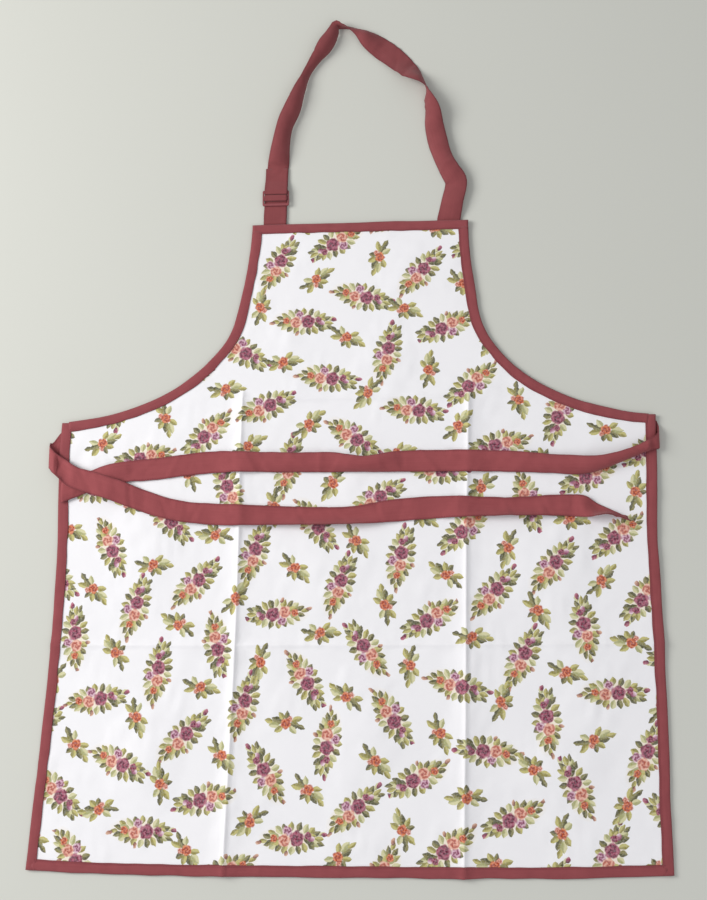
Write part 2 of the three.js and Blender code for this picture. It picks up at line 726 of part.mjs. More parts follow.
function strapSlider() {
  const plate = roundedRectangle(sliderWidth, sliderLength, sliderCorner);
  for (const way of [-1, 1]) {
    const middle = (way * barPitch) / 2;
    const x = sliderSlotWidth / 2;
    const y = sliderSlot / 2;
    plate.holes.push(new THREE.Path([
      new THREE.Vector2(-x, middle - y), new THREE.Vector2(-x, middle + y),
      new THREE.Vector2(x, middle + y), new THREE.Vector2(x, middle - y),
    ]));
  }
  const geometry = new THREE.ExtrudeGeometry(plate, {
    depth: sliderThickness, bevelEnabled: false, curveSegments: 4,
  });
  const mesh = namedMesh('strap_slider', geometry, burgundyPlastic);
  mesh.position.copy(leaned(-leftStrapPlace, sliderAlong, sliderBottom));
  return mesh;
}

function topBinding() {
  const xs = [-bibHalf, ...columnStations.filter((x) => Math.abs(x) < bibHalf - seamGap), bibHalf];
  return bindingTape('top_binding', xs.map((x) => ({ outer: [x, bibHeight], inward: [0, -1] })));
}

function hemBinding() {
  const end = halfWidthAt(-skirtLength + bindingWidth) - bindingWidth - seamGap;
  const xs = [-end, ...columnStations.filter((x) => Math.abs(x) < end - seamGap), end];
  return bindingTape('hem_binding', xs.map((x) => ({ outer: [x, -skirtLength], inward: [0, 1] })));
}

function sideBinding(name, side) {
  const ys = [0, ...rowStations.filter((y) => y < -seamGap && y > -skirtLength + seamGap).reverse(), -skirtLength];
  return bindingTape(name, ys.map((y) => ({ outer: [side * halfWidthAt(y), y], inward: [-side, 0] })));
}

const rightTie = tieSections(rightTieRoute, 1, rightTieReach, []);
const leftTie = tieSections(leftTieRoute, -1, leftTieReach, rightTie);

const apron = new THREE.Group();
apron.add(
  bodyPanel(),
  topBinding(),
  bindingTape('armhole_binding_left', armholePairs(-1)),
  bindingTape('armhole_binding_right', armholePairs(1)),
  sideBinding('side_binding_left', -1),
  sideBinding('side_binding_right', 1),
  hemBinding(),
  neckStrap(),
  strapSlider(),
  buckleLoop(),
  ribbon('waist_tie_left', leftTie, strapThickness),
  ribbon('waist_tie_right', rightTie, strapThickness),
);

// The origin is the middle of the footprint, on the surface
const bounds = new THREE.Box3().setFromObject(apron);
apron.position.set(-(bounds.min.x + bounds.max.x) / 2, -(bounds.min.y + bounds.max.y) / 2, -bounds.min.z);

export default apron;
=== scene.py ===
import math

import bpy
import numpy as np
from mathutils import Matrix, Vector


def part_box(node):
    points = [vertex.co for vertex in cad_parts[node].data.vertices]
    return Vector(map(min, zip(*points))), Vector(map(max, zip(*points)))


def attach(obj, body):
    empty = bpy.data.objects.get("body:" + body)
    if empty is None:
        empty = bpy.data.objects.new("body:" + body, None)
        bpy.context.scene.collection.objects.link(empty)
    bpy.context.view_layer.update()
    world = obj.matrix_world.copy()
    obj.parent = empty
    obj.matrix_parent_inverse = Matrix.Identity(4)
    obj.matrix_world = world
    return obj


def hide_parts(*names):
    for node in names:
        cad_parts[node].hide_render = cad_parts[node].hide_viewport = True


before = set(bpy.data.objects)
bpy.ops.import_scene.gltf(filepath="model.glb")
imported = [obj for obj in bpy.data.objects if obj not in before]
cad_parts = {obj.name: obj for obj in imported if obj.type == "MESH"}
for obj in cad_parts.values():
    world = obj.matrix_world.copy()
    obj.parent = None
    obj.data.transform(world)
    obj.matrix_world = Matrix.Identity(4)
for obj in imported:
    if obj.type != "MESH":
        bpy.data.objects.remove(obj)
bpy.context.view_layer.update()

# A kitchen apron lying face up. Sizes are in millimetres on the flat pattern, whose origin is the middle of
# the waist: +X to the right, +Y to the neck, +Z up. Meshes are made in metres.
MM = 0.001

# Cut sizes of the body, the tape and the straps
BIB_WIDTH = 263
WAIST_WIDTH = 703
HEM_WIDTH = 721
BIB_HEIGHT = 245
SKIRT_LENGTH = 513
TAPE_WIDTH = 12
STRAP_WIDTH = 28
STRAP_THICKNESS = 1.2
TIE_WIDTH = 25

# Heights above the surface where the body lies flat: the cloth, and the top of the tape round its edge
CLOTH_BOTTOM = 1.75
CLOTH_TOP = 2.25
TAPE_TOP = 3.35
UNDER_LIFT = 1.6

# How the cloth lies: out of square, pulled in at the sides, bowed at the hem
LEAN = 0.0284
SIDE_WANDER = 8
HEM_BOW = 5.5

# Pressed creases from folding in three across and down, and the soft swells between them
FOLD_SPACING = 268
CREASE_HEIGHT = 3
CREASE_SPREAD = 24
CREASE_EDGE = 1.4
CREASE_EDGE_SPREAD = 6
SKIRT_FOLD_DROP = 263
BIB_FOLD_RISE = 25
CROSS_HEIGHT = 1.2
CROSS_SPREAD = 18
SWELL_HEIGHT = 2.2

# Neck strap and slider
NECK_REACH = 269
RIGHT_STRAP_INSET = 23.5
LEFT_STRAP_INSET = 27
STRAP_LAP = 19
STRAP_TAIL = 31
STRAP_SETTLE = 9.6
TAIL_SETTLE = 14.4
SLIDER_DISTANCE = 34
SLIDER_WIDTH = 32.5
SLIDER_BAR = 3.2
SLIDER_SLOT = 5.2
SLIDER_THICKNESS = 2
SLIDER_CORNER = 2
WRAP_GAP = 0.4
SEAM_GAP = 0.3
FOLD_RADIUS = 0.8
SLOT_FILL = 0.7

# Waist ties
LEFT_TIE_REACH = 672
RIGHT_TIE_REACH = 697
TIE_DROP = 115
TIE_LAP = 20
TIE_SLANT = 5

# Sewing thread
STITCH_LENGTH = 2.4
STITCH_PITCH = 3.1
THREAD_RADIUS = 0.26
TAPE_STITCH_DEPTH = 10
STRAP_STITCH_INSET = 2.2

# How far round a gathered strap bows, and the lowest that cloth lies
BOW_LIMIT = 1.3
TIE_CLEARANCE = 0.6
CROSSING_REACH = 4
LOWEST = 0.04

# Camera, from the middle of the waist: place, and its right, up and back directions
CAMERA_PLACE = (96.1, -317.1, 1443.9)
CAMERA_RIGHT = (0.99772, -0.00066, -0.06744)
CAMERA_UP = (0.01347, 0.98174, 0.18974)
CAMERA_BACK = (0.06608, -0.19022, 0.97952)
CAMERA_LENS = 50

BIB_HALF = BIB_WIDTH / 2
WAIST_HALF = WAIST_WIDTH / 2
HEM_HALF = HEM_WIDTH / 2
FOLD_HALF = FOLD_SPACING / 2

# The object's origin is the middle of its footprint, so the pattern's place in it comes from the top tape
TOP_LOW, TOP_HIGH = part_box("top_binding")
OFFSET = np.array([
    TOP_LOW.x / MM + BIB_HALF - LEAN * (BIB_HEIGHT - TAPE_WIDTH),
    TOP_HIGH.y / MM - BIB_HEIGHT,
    0,
])

# Armhole edge, as shares of the reach from bib to waist and of the bib height
ARMHOLE_REACH = (0, 0.007, 0.022, 0.044, 0.062, 0.083, 0.124, 0.175, 0.255, 0.36, 0.47, 0.6, 0.79, 1)
ARMHOLE_RISE = (1, 0.87, 0.75, 0.635, 0.54, 0.465, 0.392, 0.333, 0.254, 0.18, 0.125, 0.076, 0.028, 0)

# Side edges pulled in, as shares of the skirt length and of the wander
SIDE_DOWN = (0, 0.13, 0.23, 0.33, 0.5, 0.68, 0.85, 1)
SIDE_LEFT = (0, 0.22, 0.75, 1.05, 1.25, 1.1, 0.75, 0.4)
SIDE_RIGHT = (0, -0.12, -0.32, -0.25, 0.02, 0.18, 0.15, 0.25)

# Soft swells: across and down, how wide and long, and how high
SWELLS = (
    (-0.68, 0.3, 0.2, 0.18, 0.8),
    (-0.05, 0.34, 0.22, 0.12, 0.7),
    (0.66, 0.36, 0.2, 0.13, 1),
    (-0.66, 0.74, 0.2, 0.16, 0.9),
    (0.08, 0.76, 0.2, 0.16, 0.8),
    (0.68, 0.75, 0.19, 0.16, 0.9),
)

# Neck strap from the right end over the top to the slider: across, rise, turn, gather
NECK_ROUTE = (
    (1, 0.007, 0, 1),
    (1.039, 0.092, 12, 0.96),
    (1.076, 0.184, 14, 0.97),
    (1.01, 0.233, 22, 0.89),
    (0.926, 0.303, 18, 0.83),
    (0.855, 0.394, 16, 0.87),
    (0.818, 0.466, 22, 0.85),
    (0.801, 0.53, 38, 0.79),
    (0.753, 0.594, 62, 0.64),
    (0.706, 0.651, 104, 0.55),
    (0.576, 0.706, 146, 0.93),
    (0.456, 0.76, 164, 1.01),
    (0.325, 0.811, 173, 1.04),
    (0.178, 0.859, 175, 1.01),
    (0.031, 0.902, 168, 0.84),
    (-0.084, 0.934, 150, 0.49),
    (-0.191, 0.955, 114, 0.42),
    (-0.288, 0.971, 74, 0.4),
    (-0.35, 0.976, 52, 0.46),
    (-0.381, 0.951, 40, 0.53),
    (-0.414, 0.916, 36, 0.66),
    (-0.482, 0.869, 38, 0.74),
    (-0.572, 0.818, 44, 0.56),
    (-0.685, 0.741, 50, 0.45),
    (-0.773, 0.649, 42, 0.63),
    (-0.846, 0.559, 32, 0.8),
    (-0.919, 0.488, 32, 0.77),
    (-0.963, 0.39, 24, 0.81),
    (-0.981, 0.307, 12, 0.92),
    (-0.99, 0.285, 0, 0.94),
)

# Waist ties from the sewn end to the free end: along, drop, fold, roll, gather
LEFT_TIE_ROUTE = (
    (0, 0.226, 0, 0, 1),
    (-0.0115, 0.29, 0.06, 0, 0.8),
    (-0.0195, 0.34, 0.5, 0, 0.68),
    (-0.014, 0.395, 0.97, 0, 0.76),
    (0.0022, 0.475, 1, 12, 0.88),
    (0.026, 0.574, 1, 4, 1),
    (0.069, 0.657, 1, 0, 1.04),
    (0.106, 0.73, 1, 0, 1.06),
    (0.173, 0.874, 1, 4, 1),
    (0.218, 0.94, 1, 6, 0.98),
    (0.285, 0.977, 1, 0, 1.02),
    (0.359, 0.991, 1, 8, 0.95),
    (0.523, 1, 1, 20, 0.9),
    (0.594, 0.957, 1, 0, 1.04),
    (0.672, 0.926, 1, 0, 1.04),
    (0.806, 0.927, 1, 16, 0.9),
    (0.9, 0.921, 1, 0, 1.02),
    (0.922, 0.934, 1, 2, 1.02),
    (0.9417, 0.961, 1, 34, 0.87),
    (0.9615, 0.981, 1, 56, 0.62),
    (0.981, 1.021, 1, 62, 0.48),
    (1, 1.063, 1, 62, 0.44),
)
RIGHT_TIE_ROUTE = (
    (0, 0.19, 0, 0, 1),
    (-0.0035, 0.215, 0.06, 0, 0.88),
    (-0.005, 0.24, 0.5, 0, 0.72),
    (-0.0015, 0.28, 0.95, 6, 0.6),
    (0.0237, 0.35, 1, 26, 0.46),
    (0.0624, 0.443, 1, 32, 0.55),
    (0.0997, 0.504, 1, 26, 0.73),
    (0.127, 0.516, 1, 16, 0.88),
    (0.17, 0.499, 1, 12, 0.88),
    (0.229, 0.472, 1, 6, 0.97),
    (0.296, 0.458, 1, 0, 1.02),
    (0.428, 0.454, 1, 0, 0.99),
    (0.484, 0.478, 1, 20, 0.75),
    (0.537, 0.456, 1, 12, 0.92),
    (0.609, 0.451, 1, 8, 0.93),
    (0.681, 0.441, 1, 0, 0.97),
    (0.745, 0.438, 1, 0, 1.04),
    (0.791, 0.464, 1, 0, 1.04),
    (0.844, 0.502, 1, 0, 1.03),
    (0.886, 0.522, 1, 4, 1),
    (0.913, 0.543, 1, 8, 0.95),
    (0.949, 0.61, 1, 0, 0.95),
    (1.004, 0.735, 1, 0, 0.95),
)


# Shader nodes

class Wire:
    """A socket of a material's nodes. Python's operators on it add Math or Vector Math nodes."""

    def __init__(self, sheet, socket):
        self.sheet = sheet
        self.socket = socket

    def join(self, operation, first, second):
        wires = [x for x in (first, second) if isinstance(x, Wire)]
        vectors = any(x.socket.type == "VECTOR" for x in wires) or any(isinstance(x, tuple) for x in (first, second))
        kind = "ShaderNodeVectorMath" if vectors else "ShaderNodeMath"
        return self.sheet.add(kind, {"operation": operation}, first, second)

    def __add__(self, other):
        return self.join("ADD", self, other)

    def __radd__(self, other):
        return self.join("ADD", other, self)

    def __sub__(self, other):
        return self.join("SUBTRACT", self, other)

    def __rsub__(self, other):
        return self.join("SUBTRACT", other, self)

    def __mul__(self, other):
        return self.join("MULTIPLY", self, other)

    def __rmul__(self, other):
        return self.join("MULTIPLY", other, self)

    def __truediv__(self, other):
        return self.join("DIVIDE", self, other)


class Finish:
    """One material and its nodes"""

    def __init__(self, name):
        self.material = bpy.data.materials.new(name)
        self.material.use_nodes = True
        self.tree = self.material.node_tree
        self.tree.nodes.clear()

    def add(self, kind, settings=None, *values, output=0, **named):
        """A node of this kind, with its settings, its inputs in order and then by name, as the wire of one output"""
        node = self.tree.nodes.new(kind)
        for key, value in (settings or {}).items():
            if key == "ramp":
                self.set_ramp(node.color_ramp, value)
            else:
                setattr(node, key, value)
        inputs = [s for s in node.inputs if s.enabled]
        by_name = {s.name: s for s in inputs}
        for socket, value in [*zip(inputs, values), *((by_name[k.replace("_", " ")], v) for k, v in named.items())]:
            self.give(socket, value)
        outputs = [s for s in node.outputs if s.enabled]
        return Wire(self, outputs[output])

    def give(self, socket, value):
        if isinstance(value, Wire):
            self.tree.links.new(value.socket, socket)
        elif value is not None:
            if socket.type == "RGBA":
                value = (*value, 1)
            elif socket.type == "VECTOR" and not isinstance(value, tuple):
                value = (value, value, value)
            socket.default_value = value

    def set_ramp(self, ramp, stops):
        while len(ramp.elements) < len(stops):
            ramp.elements.new(1)
        for element, (at, colour) in zip(ramp.elements, stops):
            element.position = at
            element.color = (*colour, 1)

    def math(self, operation, *values, clamp=False):
        return self.add("ShaderNodeMath", {"operation": operation, "use_clamp": clamp}, *values)

    def vector(self, operation, *values, output=0):
        return self.add("ShaderNodeVectorMath", {"operation": operation}, *values, output=output)

    def mix(self, factor, first, second):
        return self.add("ShaderNodeMix", {"data_type": "RGBA"}, factor, first, second)

    def noise(self, place, scale, detail=2, output=0):
        return self.add("ShaderNodeTexNoise", {"noise_dimensions": "3D"}, place, Scale=scale, Detail=detail,
                        output=output)

    def attribute(self, name):
        return self.add("ShaderNodeAttribute", {"attribute_name": name}, output=1)

    def parts(self, vector):
        node = self.add("ShaderNodeSeparateXYZ", {}, vector).socket.node
        return [Wire(self, s) for s in node.outputs]

    def shade(self, colour, roughness, height=None, depth=0.0, **constants):
        """Closes the material with one Principled shader. height is bumped by depth metres"""
        normal = None
        if height is not None:
            normal = self.add("ShaderNodeBump", {}, 1.0, depth, Height=height)
        shader = self.add("ShaderNodeBsdfPrincipled", {}, colour, Roughness=roughness, Normal=normal, **constants)
        self.add_output(shader)
        return self.material

    def add_output(self, shader):
        node = self.tree.nodes.new("ShaderNodeOutputMaterial")
        self.tree.links.new(shader.socket, node.inputs["Surface"])


def srgb(red, green, blue):
    """Linear colour of one given as 0 to 255"""
    return tuple(((v / 255 + 0.055) / 1.055) ** 2.4 if v > 10 else v / 255 / 12.92 for v in (red, green, blue))


# Colours of the print: dark, middle and light of each blossom, and three greens
CLOTH_WHITE = srgb(243, 242, 245)
PLUM = (srgb(92, 22, 50), srgb(140, 48, 78), srgb(188, 112, 132))
ROSE = (srgb(168, 78, 62), srgb(212, 134, 112), srgb(240, 204, 184))
ORANGE = (srgb(146, 50, 24), srgb(196, 86, 44), srgb(228, 150, 98))
MAUVE = (srgb(118, 44, 76), srgb(182, 118, 146), srgb(232, 210, 220))
DARK_GREEN = (srgb(82, 80, 38), srgb(134, 128, 74))
LIGHT_GREEN = (srgb(142, 134, 62), srgb(192, 184, 112))
PALE_GREEN = (srgb(164, 164, 108), srgb(210, 206, 160))
TIP_BROWN = (srgb(110, 66, 54), srgb(174, 122, 100), srgb(216, 174, 148))
HALO = srgb(238, 226, 204)

# The print's parts, in millimetres from the middle of a motif: place, angle, length and width
POSY_LEAVES = (
    (-34, 1, 176, 14, 7, LIGHT_GREEN),
    (-29, 6, 152, 14, 8, PALE_GREEN),
    (-30, -5, 206, 14, 7, DARK_GREEN),
    (-24, 8, 132, 14, 8, DARK_GREEN),
    (-24, -8, 224, 14, 8, LIGHT_GREEN),
    (-16, 11, 122, 14, 8, LIGHT_GREEN),
    (-17, -11, 242, 13, 8, PALE_GREEN),
    (-8, 13, 104, 13, 8, DARK_GREEN),
    (-9, -13, 252, 13, 8, DARK_GREEN),
    (-38, -5, 196, 11, 6, PALE_GREEN),
    (-36, 7, 160, 11, 6, DARK_GREEN),
    (0, 14, 78, 12, 8, PALE_GREEN),
    (1, -14, 276, 12, 8, LIGHT_GREEN),
    (9, 12, 64, 13, 8, LIGHT_GREEN),
    (9, -12, 296, 13, 8, DARK_GREEN),
    (17, 10, 50, 14, 8, DARK_GREEN),
    (17, -10, 312, 14, 8, PALE_GREEN),
    (24, 8, 38, 14, 8, PALE_GREEN),
    (25, -7, 326, 14, 7, LIGHT_GREEN),
    (30, 5, 22, 14, 7, DARK_GREEN),
    (31, -3, 344, 13, 7, DARK_GREEN),
    (37, 2, 6, 12, 6, LIGHT_GREEN),
    (19, 4, 24, 15, 9, LIGHT_GREEN),
    (-21, 3, 160, 15, 9, DARK_GREEN),
    (-23, -2, 188, 15, 9, LIGHT_GREEN),
    (22, -3, 338, 15, 9, PALE_GREEN),
)
POSY_BUDS = (
    (-41, -4, 190, 9, 6, PLUM),
    (42, 4, 8, 9, 5, TIP_BROWN),
    (7, 17, 70, 8, 5, TIP_BROWN),
    (-24, 1, 180, 9, 7, MAUVE),
)
POSY_BLOSSOMS = (
    (6, -9, 7, 20, MAUVE),
    (-20, -3, 5.6, 10, PLUM),
    (23, 0, 5.8, 130, ORANGE),
    (10, 2, 8.8, 70, ROSE),
    (-6, 0, 10.3, 0, PLUM),
)
SPRIG_LEAVES = (
    (-10, 5, 150, 17, 9, DARK_GREEN),
    (-15, 0, 172, 16, 9, PALE_GREEN),
    (-9, -6, 205, 15, 8, LIGHT_GREEN),
    (-4, 9, 118, 14, 8, LIGHT_GREEN),
    (11, -4, 338, 17, 9, DARK_GREEN),
    (15, 2, 8, 16, 8, LIGHT_GREEN),
    (8, -9, 305, 14, 8, PALE_GREEN),
    (19, -8, 330, 13, 7, DARK_GREEN),
    (-21, 6, 160, 13, 7, LIGHT_GREEN),
    (3, 9, 74, 12, 7, DARK_GREEN),
)
SPRIG_BLOSSOMS = (
    (6, 4, 4.5, 40, ROSE),
    (0, -1, 7.6, 0, ORANGE),
)

# The lay-out: one posy and one sprig in each cell of a tilted grid, and how far their outlines wander
PRINT_CELL = 78
MOTIF_SCALE = 0.9
PRINT_TILT = 24
PRINT_JITTER = 6
BRUSH_WANDER = 3.4


def leaf(finish, place, ground, x, y, angle, length, width, greens):
    """Paints a pointed leaf over the ground, darker on one side of its rib"""
    own = finish.add("ShaderNodeMapping", {"vector_type": "TEXTURE"}, place, (x, y, 0),
                     (0, 0, math.radians(angle)), (length / 2, width / 2, 1))
    along, across, _ = finish.parts(own)
    edge = 1 - along * along - finish.math("ABSOLUTE", across)
    mask = finish.math("MULTIPLY", edge, width / 1.2, clamp=True)
    side = finish.math("MULTIPLY_ADD", across, 2.5, 0.5, clamp=True)
    return finish.mix(mask, ground, finish.mix(side, *greens))


def bud(finish, place, ground, x, y, angle, length, width, tones):
    """Paints a drop-shaped bud, light at its tip"""
    own = finish.add("ShaderNodeMapping", {"vector_type": "TEXTURE"}, place, (x, y, 0),
                     (0, 0, math.radians(angle)), (length / 2, width / 2, 1))
    along, across, _ = finish.parts(own)
    edge = 1 - along * along - across * across
    mask = finish.math("MULTIPLY", edge, width / 1.6, clamp=True)
    tone = finish.math("MULTIPLY_ADD", along + across, 0.5, 0.5, clamp=True)
    ramp = finish.add("ShaderNodeValToRGB", {"ramp": list(zip((0, 0.5, 1), tones))}, tone)
    return finish.mix(mask, ground, ramp)


def blossom(finish, place, ground, x, y, radius, angle, tones):
    """Paints a round five-petalled blossom whose petals wind in to the middle"""
    own = finish.add("ShaderNodeMapping", {"vector_type": "TEXTURE"}, place, (x, y, 0),
                     (0, 0, math.radians(angle)), (radius, radius, 1))
    across, up, _ = finish.parts(own)
    out = finish.vector("LENGTH", own, output=0)
    turn = finish.math("ARCTAN2", up, across)
    lobes = finish.math("COSINE", turn * 5 + out * 2)
    edge = lobes * 0.06 + 0.94 - out
    mask = finish.math("MULTIPLY", edge, radius / 1.6, clamp=True)
    wind = finish.math("SINE", out * 9 - turn * 2 + lobes * 0.7)
    tone = finish.math("MULTIPLY_ADD", wind, 0.3, out * 0.42 + 0.22, clamp=True)
    ramp = finish.add("ShaderNodeValToRGB", {"ramp": list(zip((0.1, 0.46, 0.95), tones))}, tone)
    return finish.mix(mask, ground, ramp)


def motif_place(finish, flat, shift, seed):
    """Place in a cell's own frame, turned at random for each cell"""
    grid = finish.vector("ADD", flat, (shift, shift, 0))
    cell = finish.vector("FLOOR", grid)
    chance = finish.add("ShaderNodeTexWhiteNoise", {"noise_dimensions": "3D"}, cell + (0, 0, seed), output=1)
    jitter = (chance - (0.5, 0.5, 0.5)) * (PRINT_JITTER, PRINT_JITTER, 0)
    inside = ((grid - cell - (0.5, 0.5, 0)) * (PRINT_CELL, PRINT_CELL, 0) - jitter) * (1 / MOTIF_SCALE)
    turn = finish.add("ShaderNodeTexWhiteNoise", {"noise_dimensions": "3D"}, cell + (0, 0, seed + 5)) * math.tau
    return finish.add("ShaderNodeVectorRotate", {"rotation_type": "Z_AXIS"}, inside, (0, 0, 0), Angle=turn)


def print_colour(finish, flat, strength):
    """Small posies and sprigs on white"""
    tone = finish.noise(flat, 0.012, 2)
    ground = finish.mix(tone, CLOTH_WHITE, srgb(238, 237, 241))
    brush = finish.noise(flat, 0.16, 2, output=1) - (0.5, 0.5, 0.5)
    painted = flat + brush * (BRUSH_WANDER, BRUSH_WANDER, 0)
    grid = finish.add("ShaderNodeMapping", {"vector_type": "TEXTURE"}, painted, (17, 29, 0),
                      (0, 0, math.radians(PRINT_TILT)), (PRINT_CELL, PRINT_CELL, 1))
    posy = motif_place(finish, grid, 0, 3)
    oval = finish.add("ShaderNodeMapping", {"vector_type": "TEXTURE"}, posy, (2, 0, 0), (0, 0, 0), (42, 18, 1))
    glow = finish.math("MULTIPLY", 1 - finish.vector("LENGTH", oval), 2.5, clamp=True)
    drawn = finish.mix(glow * 0.85, ground, HALO)
    for row in POSY_LEAVES:
        drawn = leaf(finish, posy, drawn, *row)
    for row in POSY_BUDS:
        drawn = bud(finish, posy, drawn, *row)
    for row in POSY_BLOSSOMS:
        drawn = blossom(finish, posy, drawn, *row)
    sprig = motif_place(finish, grid, 0.5, 11)
    for row in SPRIG_LEAVES:
        drawn = leaf(finish, sprig, drawn, *row)
    for row in SPRIG_BLOSSOMS:
        drawn = blossom(finish, sprig, drawn, *row)
    fade = finish.math("MULTIPLY_ADD", finish.noise(flat, 0.5, 3), 0.6, 0.62, clamp=True)
    return finish.mix(fade * strength, ground, drawn)


def weave(finish, flat, pitch):
    """Height of a plain weave, from 0 to 1, made from its two yarn directions"""
    across, along, _ = finish.parts(flat)
    warp = finish.math("SINE", across * (math.tau / pitch))
    weft = finish.math("SINE", along * (math.tau / pitch))
    return warp * weft * 0.5 + 0.5


def printed_cotton(name, strength):
    finish = Finish(name)
    flat = finish.attribute("pattern")
    height = weave(finish, flat, 0.7) * 0.6 + finish.noise(flat, 0.08, 3) * 0.4
    roughness = finish.noise(flat, 0.05) * 0.1 + 0.82
    return finish.shade(print_colour(finish, flat, strength), roughness, height, 0.00012,
                        Specular_IOR_Level=0.25, Sheen_Weight=0.1)


# Round the folded tape's section, where its inner edge and its fold are, and the painted shade laid along a cloth's
# edges: its colour and its width
TAPE_EDGES = (0.4, 13.6)
EDGE_PAINTED_SHADE = srgb(88, 36, 42)
EDGE_PAINTED_SHADE_WIDTH = 1.9


def burgundy_cloth(name, dark, light, pitch, edges):
    """Plain cloth with painted shade along its edges, which lie at these places across the pattern"""
    finish = Finish(name)
    flat = finish.attribute("pattern")
    yarn = weave(finish, flat, pitch)
    mottle = finish.noise(flat, 0.06, 3)
    streak = finish.noise(flat * (1.2, 0.02, 1), 1.0, 1)
    # The weave's raised yarns are painted a little lighter than its hollows: a painted highlight on the weave
    colour = finish.mix(mottle * 0.5 + streak * 0.3 + yarn * 0.2, dark, light)
    across = finish.parts(flat)[0]
    # Painted shade: each edge is darkened towards a deep burgundy, standing in for the shade where the cloth rounds
    # away from the light and the thin shadow beside it
    for edge in edges:
        away = finish.math("ABSOLUTE", across - edge)
        near = finish.math("MULTIPLY_ADD", away, -1 / EDGE_PAINTED_SHADE_WIDTH, 1, clamp=True)
        colour = finish.mix(near * 0.55, colour, EDGE_PAINTED_SHADE)
    roughness = mottle * 0.1 + 0.8
    return finish.shade(colour, roughness, yarn * 0.7 + mottle * 0.3, 0.00018,
                        Specular_IOR_Level=0.2, Sheen_Weight=0.15)


def slider_plastic():
    finish = Finish("slider plastic")
    flat = finish.attribute("pattern")
    mottle = finish.noise(flat, 0.4, 3)
    colour = finish.mix(mottle, srgb(126, 60, 65), srgb(146, 72, 77))
    return finish.shade(colour, mottle * 0.15 + 0.5, mottle, 0.00005, Specular_IOR_Level=0.5)


def thread(name, dark, light):
    finish = Finish(name)
    flat = finish.attribute("pattern")
    twist = finish.math("SINE", finish.vector("DOT_PRODUCT", flat, (9, 9, 0), output=0)) * 0.5 + 0.5
    # The twist's raised ply is painted lighter than its grooves: a painted highlight on the thread
    return finish.shade(finish.mix(twist, dark, light), 0.7, twist, 0.00005, Specular_IOR_Level=0.3)


def floor_finish():
    finish = Finish("studio floor")
    place = finish.add("ShaderNodeNewGeometry", {})
    tone = finish.noise(place, 1.3, 2)
    return finish.shade(finish.mix(tone, srgb(201, 202, 195), srgb(206, 207, 201)), 0.9, Specular_IOR_Level=0.1)


# Shapes of the cloth

def through(at, xs, ys):
    """A smooth line through a table's points"""
    xs = np.asarray(xs, float)
    ys = np.asarray(ys, float)
    slope = np.gradient(ys, xs)
    i = np.clip(np.searchsorted(xs, at, side="right") - 1, 0, len(xs) - 2)
    step = xs[i + 1] - xs[i]
    t = np.clip((at - xs[i]) / step, 0, 1)
    start = ys[i] * (1 + 2 * t) * (1 - t) ** 2 + slope[i] * step * t * (1 - t) ** 2
    end = ys[i + 1] * t * t * (3 - 2 * t) - slope[i + 1] * step * t * t * (1 - t)
    return start + end


def cusp(distance, spread):
    return np.clip(1 - np.abs(distance) / spread, 0, 1) ** 2


def bump(distance, spread):
    return np.where(np.abs(distance) < spread, np.cos(np.pi * distance / (2 * spread)) ** 2, 0)


def ripples(x, y, seed, shortest, longest, count=14):
    """Soft uneven waves, about 1 high either way"""
    chance = np.random.default_rng(seed)
    total = np.zeros(np.broadcast(x, y).shape)
    for _ in range(count):
        turn = chance.uniform(0, math.tau)
        pitch = chance.uniform(shortest, longest)
        phase = chance.uniform(0, math.tau)
        total += np.sin((x * math.cos(turn) + y * math.sin(turn)) * math.tau / pitch + phase)
    return total / math.sqrt(count)


def half_width(y):
    return WAIST_HALF + (HEM_HALF - WAIST_HALF) * np.clip(-y / SKIRT_LENGTH, 0, 1)


def lift(y):
    """Height of the body over the surface: over the sewn ties above, down to it at the hem"""
    hem_flat = -SKIRT_LENGTH + 2 * TAPE_WIDTH
    return UNDER_LIFT * np.clip((y - hem_flat) / (-TIE_DROP / 2 - hem_flat), 0, 1)


def relief(x, y):
    """Height of the creases, swells and small wrinkles at a place on the flat pattern"""
    crease_start = BIB_FOLD_RISE + CROSS_SPREAD
    started = np.clip((crease_start - y) / CROSS_SPREAD, 0, 1)
    height = CREASE_HEIGHT * cusp(np.abs(x) - FOLD_HALF, CREASE_SPREAD) * started
    height = np.maximum(height, CROSS_HEIGHT * cusp(y + SKIRT_FOLD_DROP, CROSS_SPREAD))
    inside_bib = np.clip((BIB_HALF + TAPE_WIDTH - np.abs(x)) / TAPE_WIDTH, 0, 1)
    height = np.maximum(height, CROSS_HEIGHT * cusp(y - BIB_FOLD_RISE, CROSS_SPREAD) * inside_bib)
    for across, down, wide, long, high in SWELLS:
        dx = bump(x - across * WAIST_HALF, wide * WAIST_HALF)
        dy = bump(y + down * SKIRT_LENGTH, long * SKIRT_LENGTH)
        height = height + SWELL_HEIGHT * high * dx * dy
    sharp = np.maximum(cusp(np.abs(x) - FOLD_HALF, CREASE_EDGE_SPREAD) * started,
                       0.6 * cusp(y + SKIRT_FOLD_DROP, CREASE_EDGE_SPREAD))
    sharp = np.maximum(sharp, 0.6 * cusp(y - BIB_FOLD_RISE, CREASE_EDGE_SPREAD) * inside_bib)
    height = height + CREASE_EDGE * sharp
    height = height + 0.6 * ripples(x, y, 4, 70, 160) + 0.26 * ripples(x, y, 5, 22, 48)
    height = height + 0.2 * np.abs(ripples(x, y * 0.35, 6, 14, 40)) ** 1.5
    return np.maximum(height, 0)


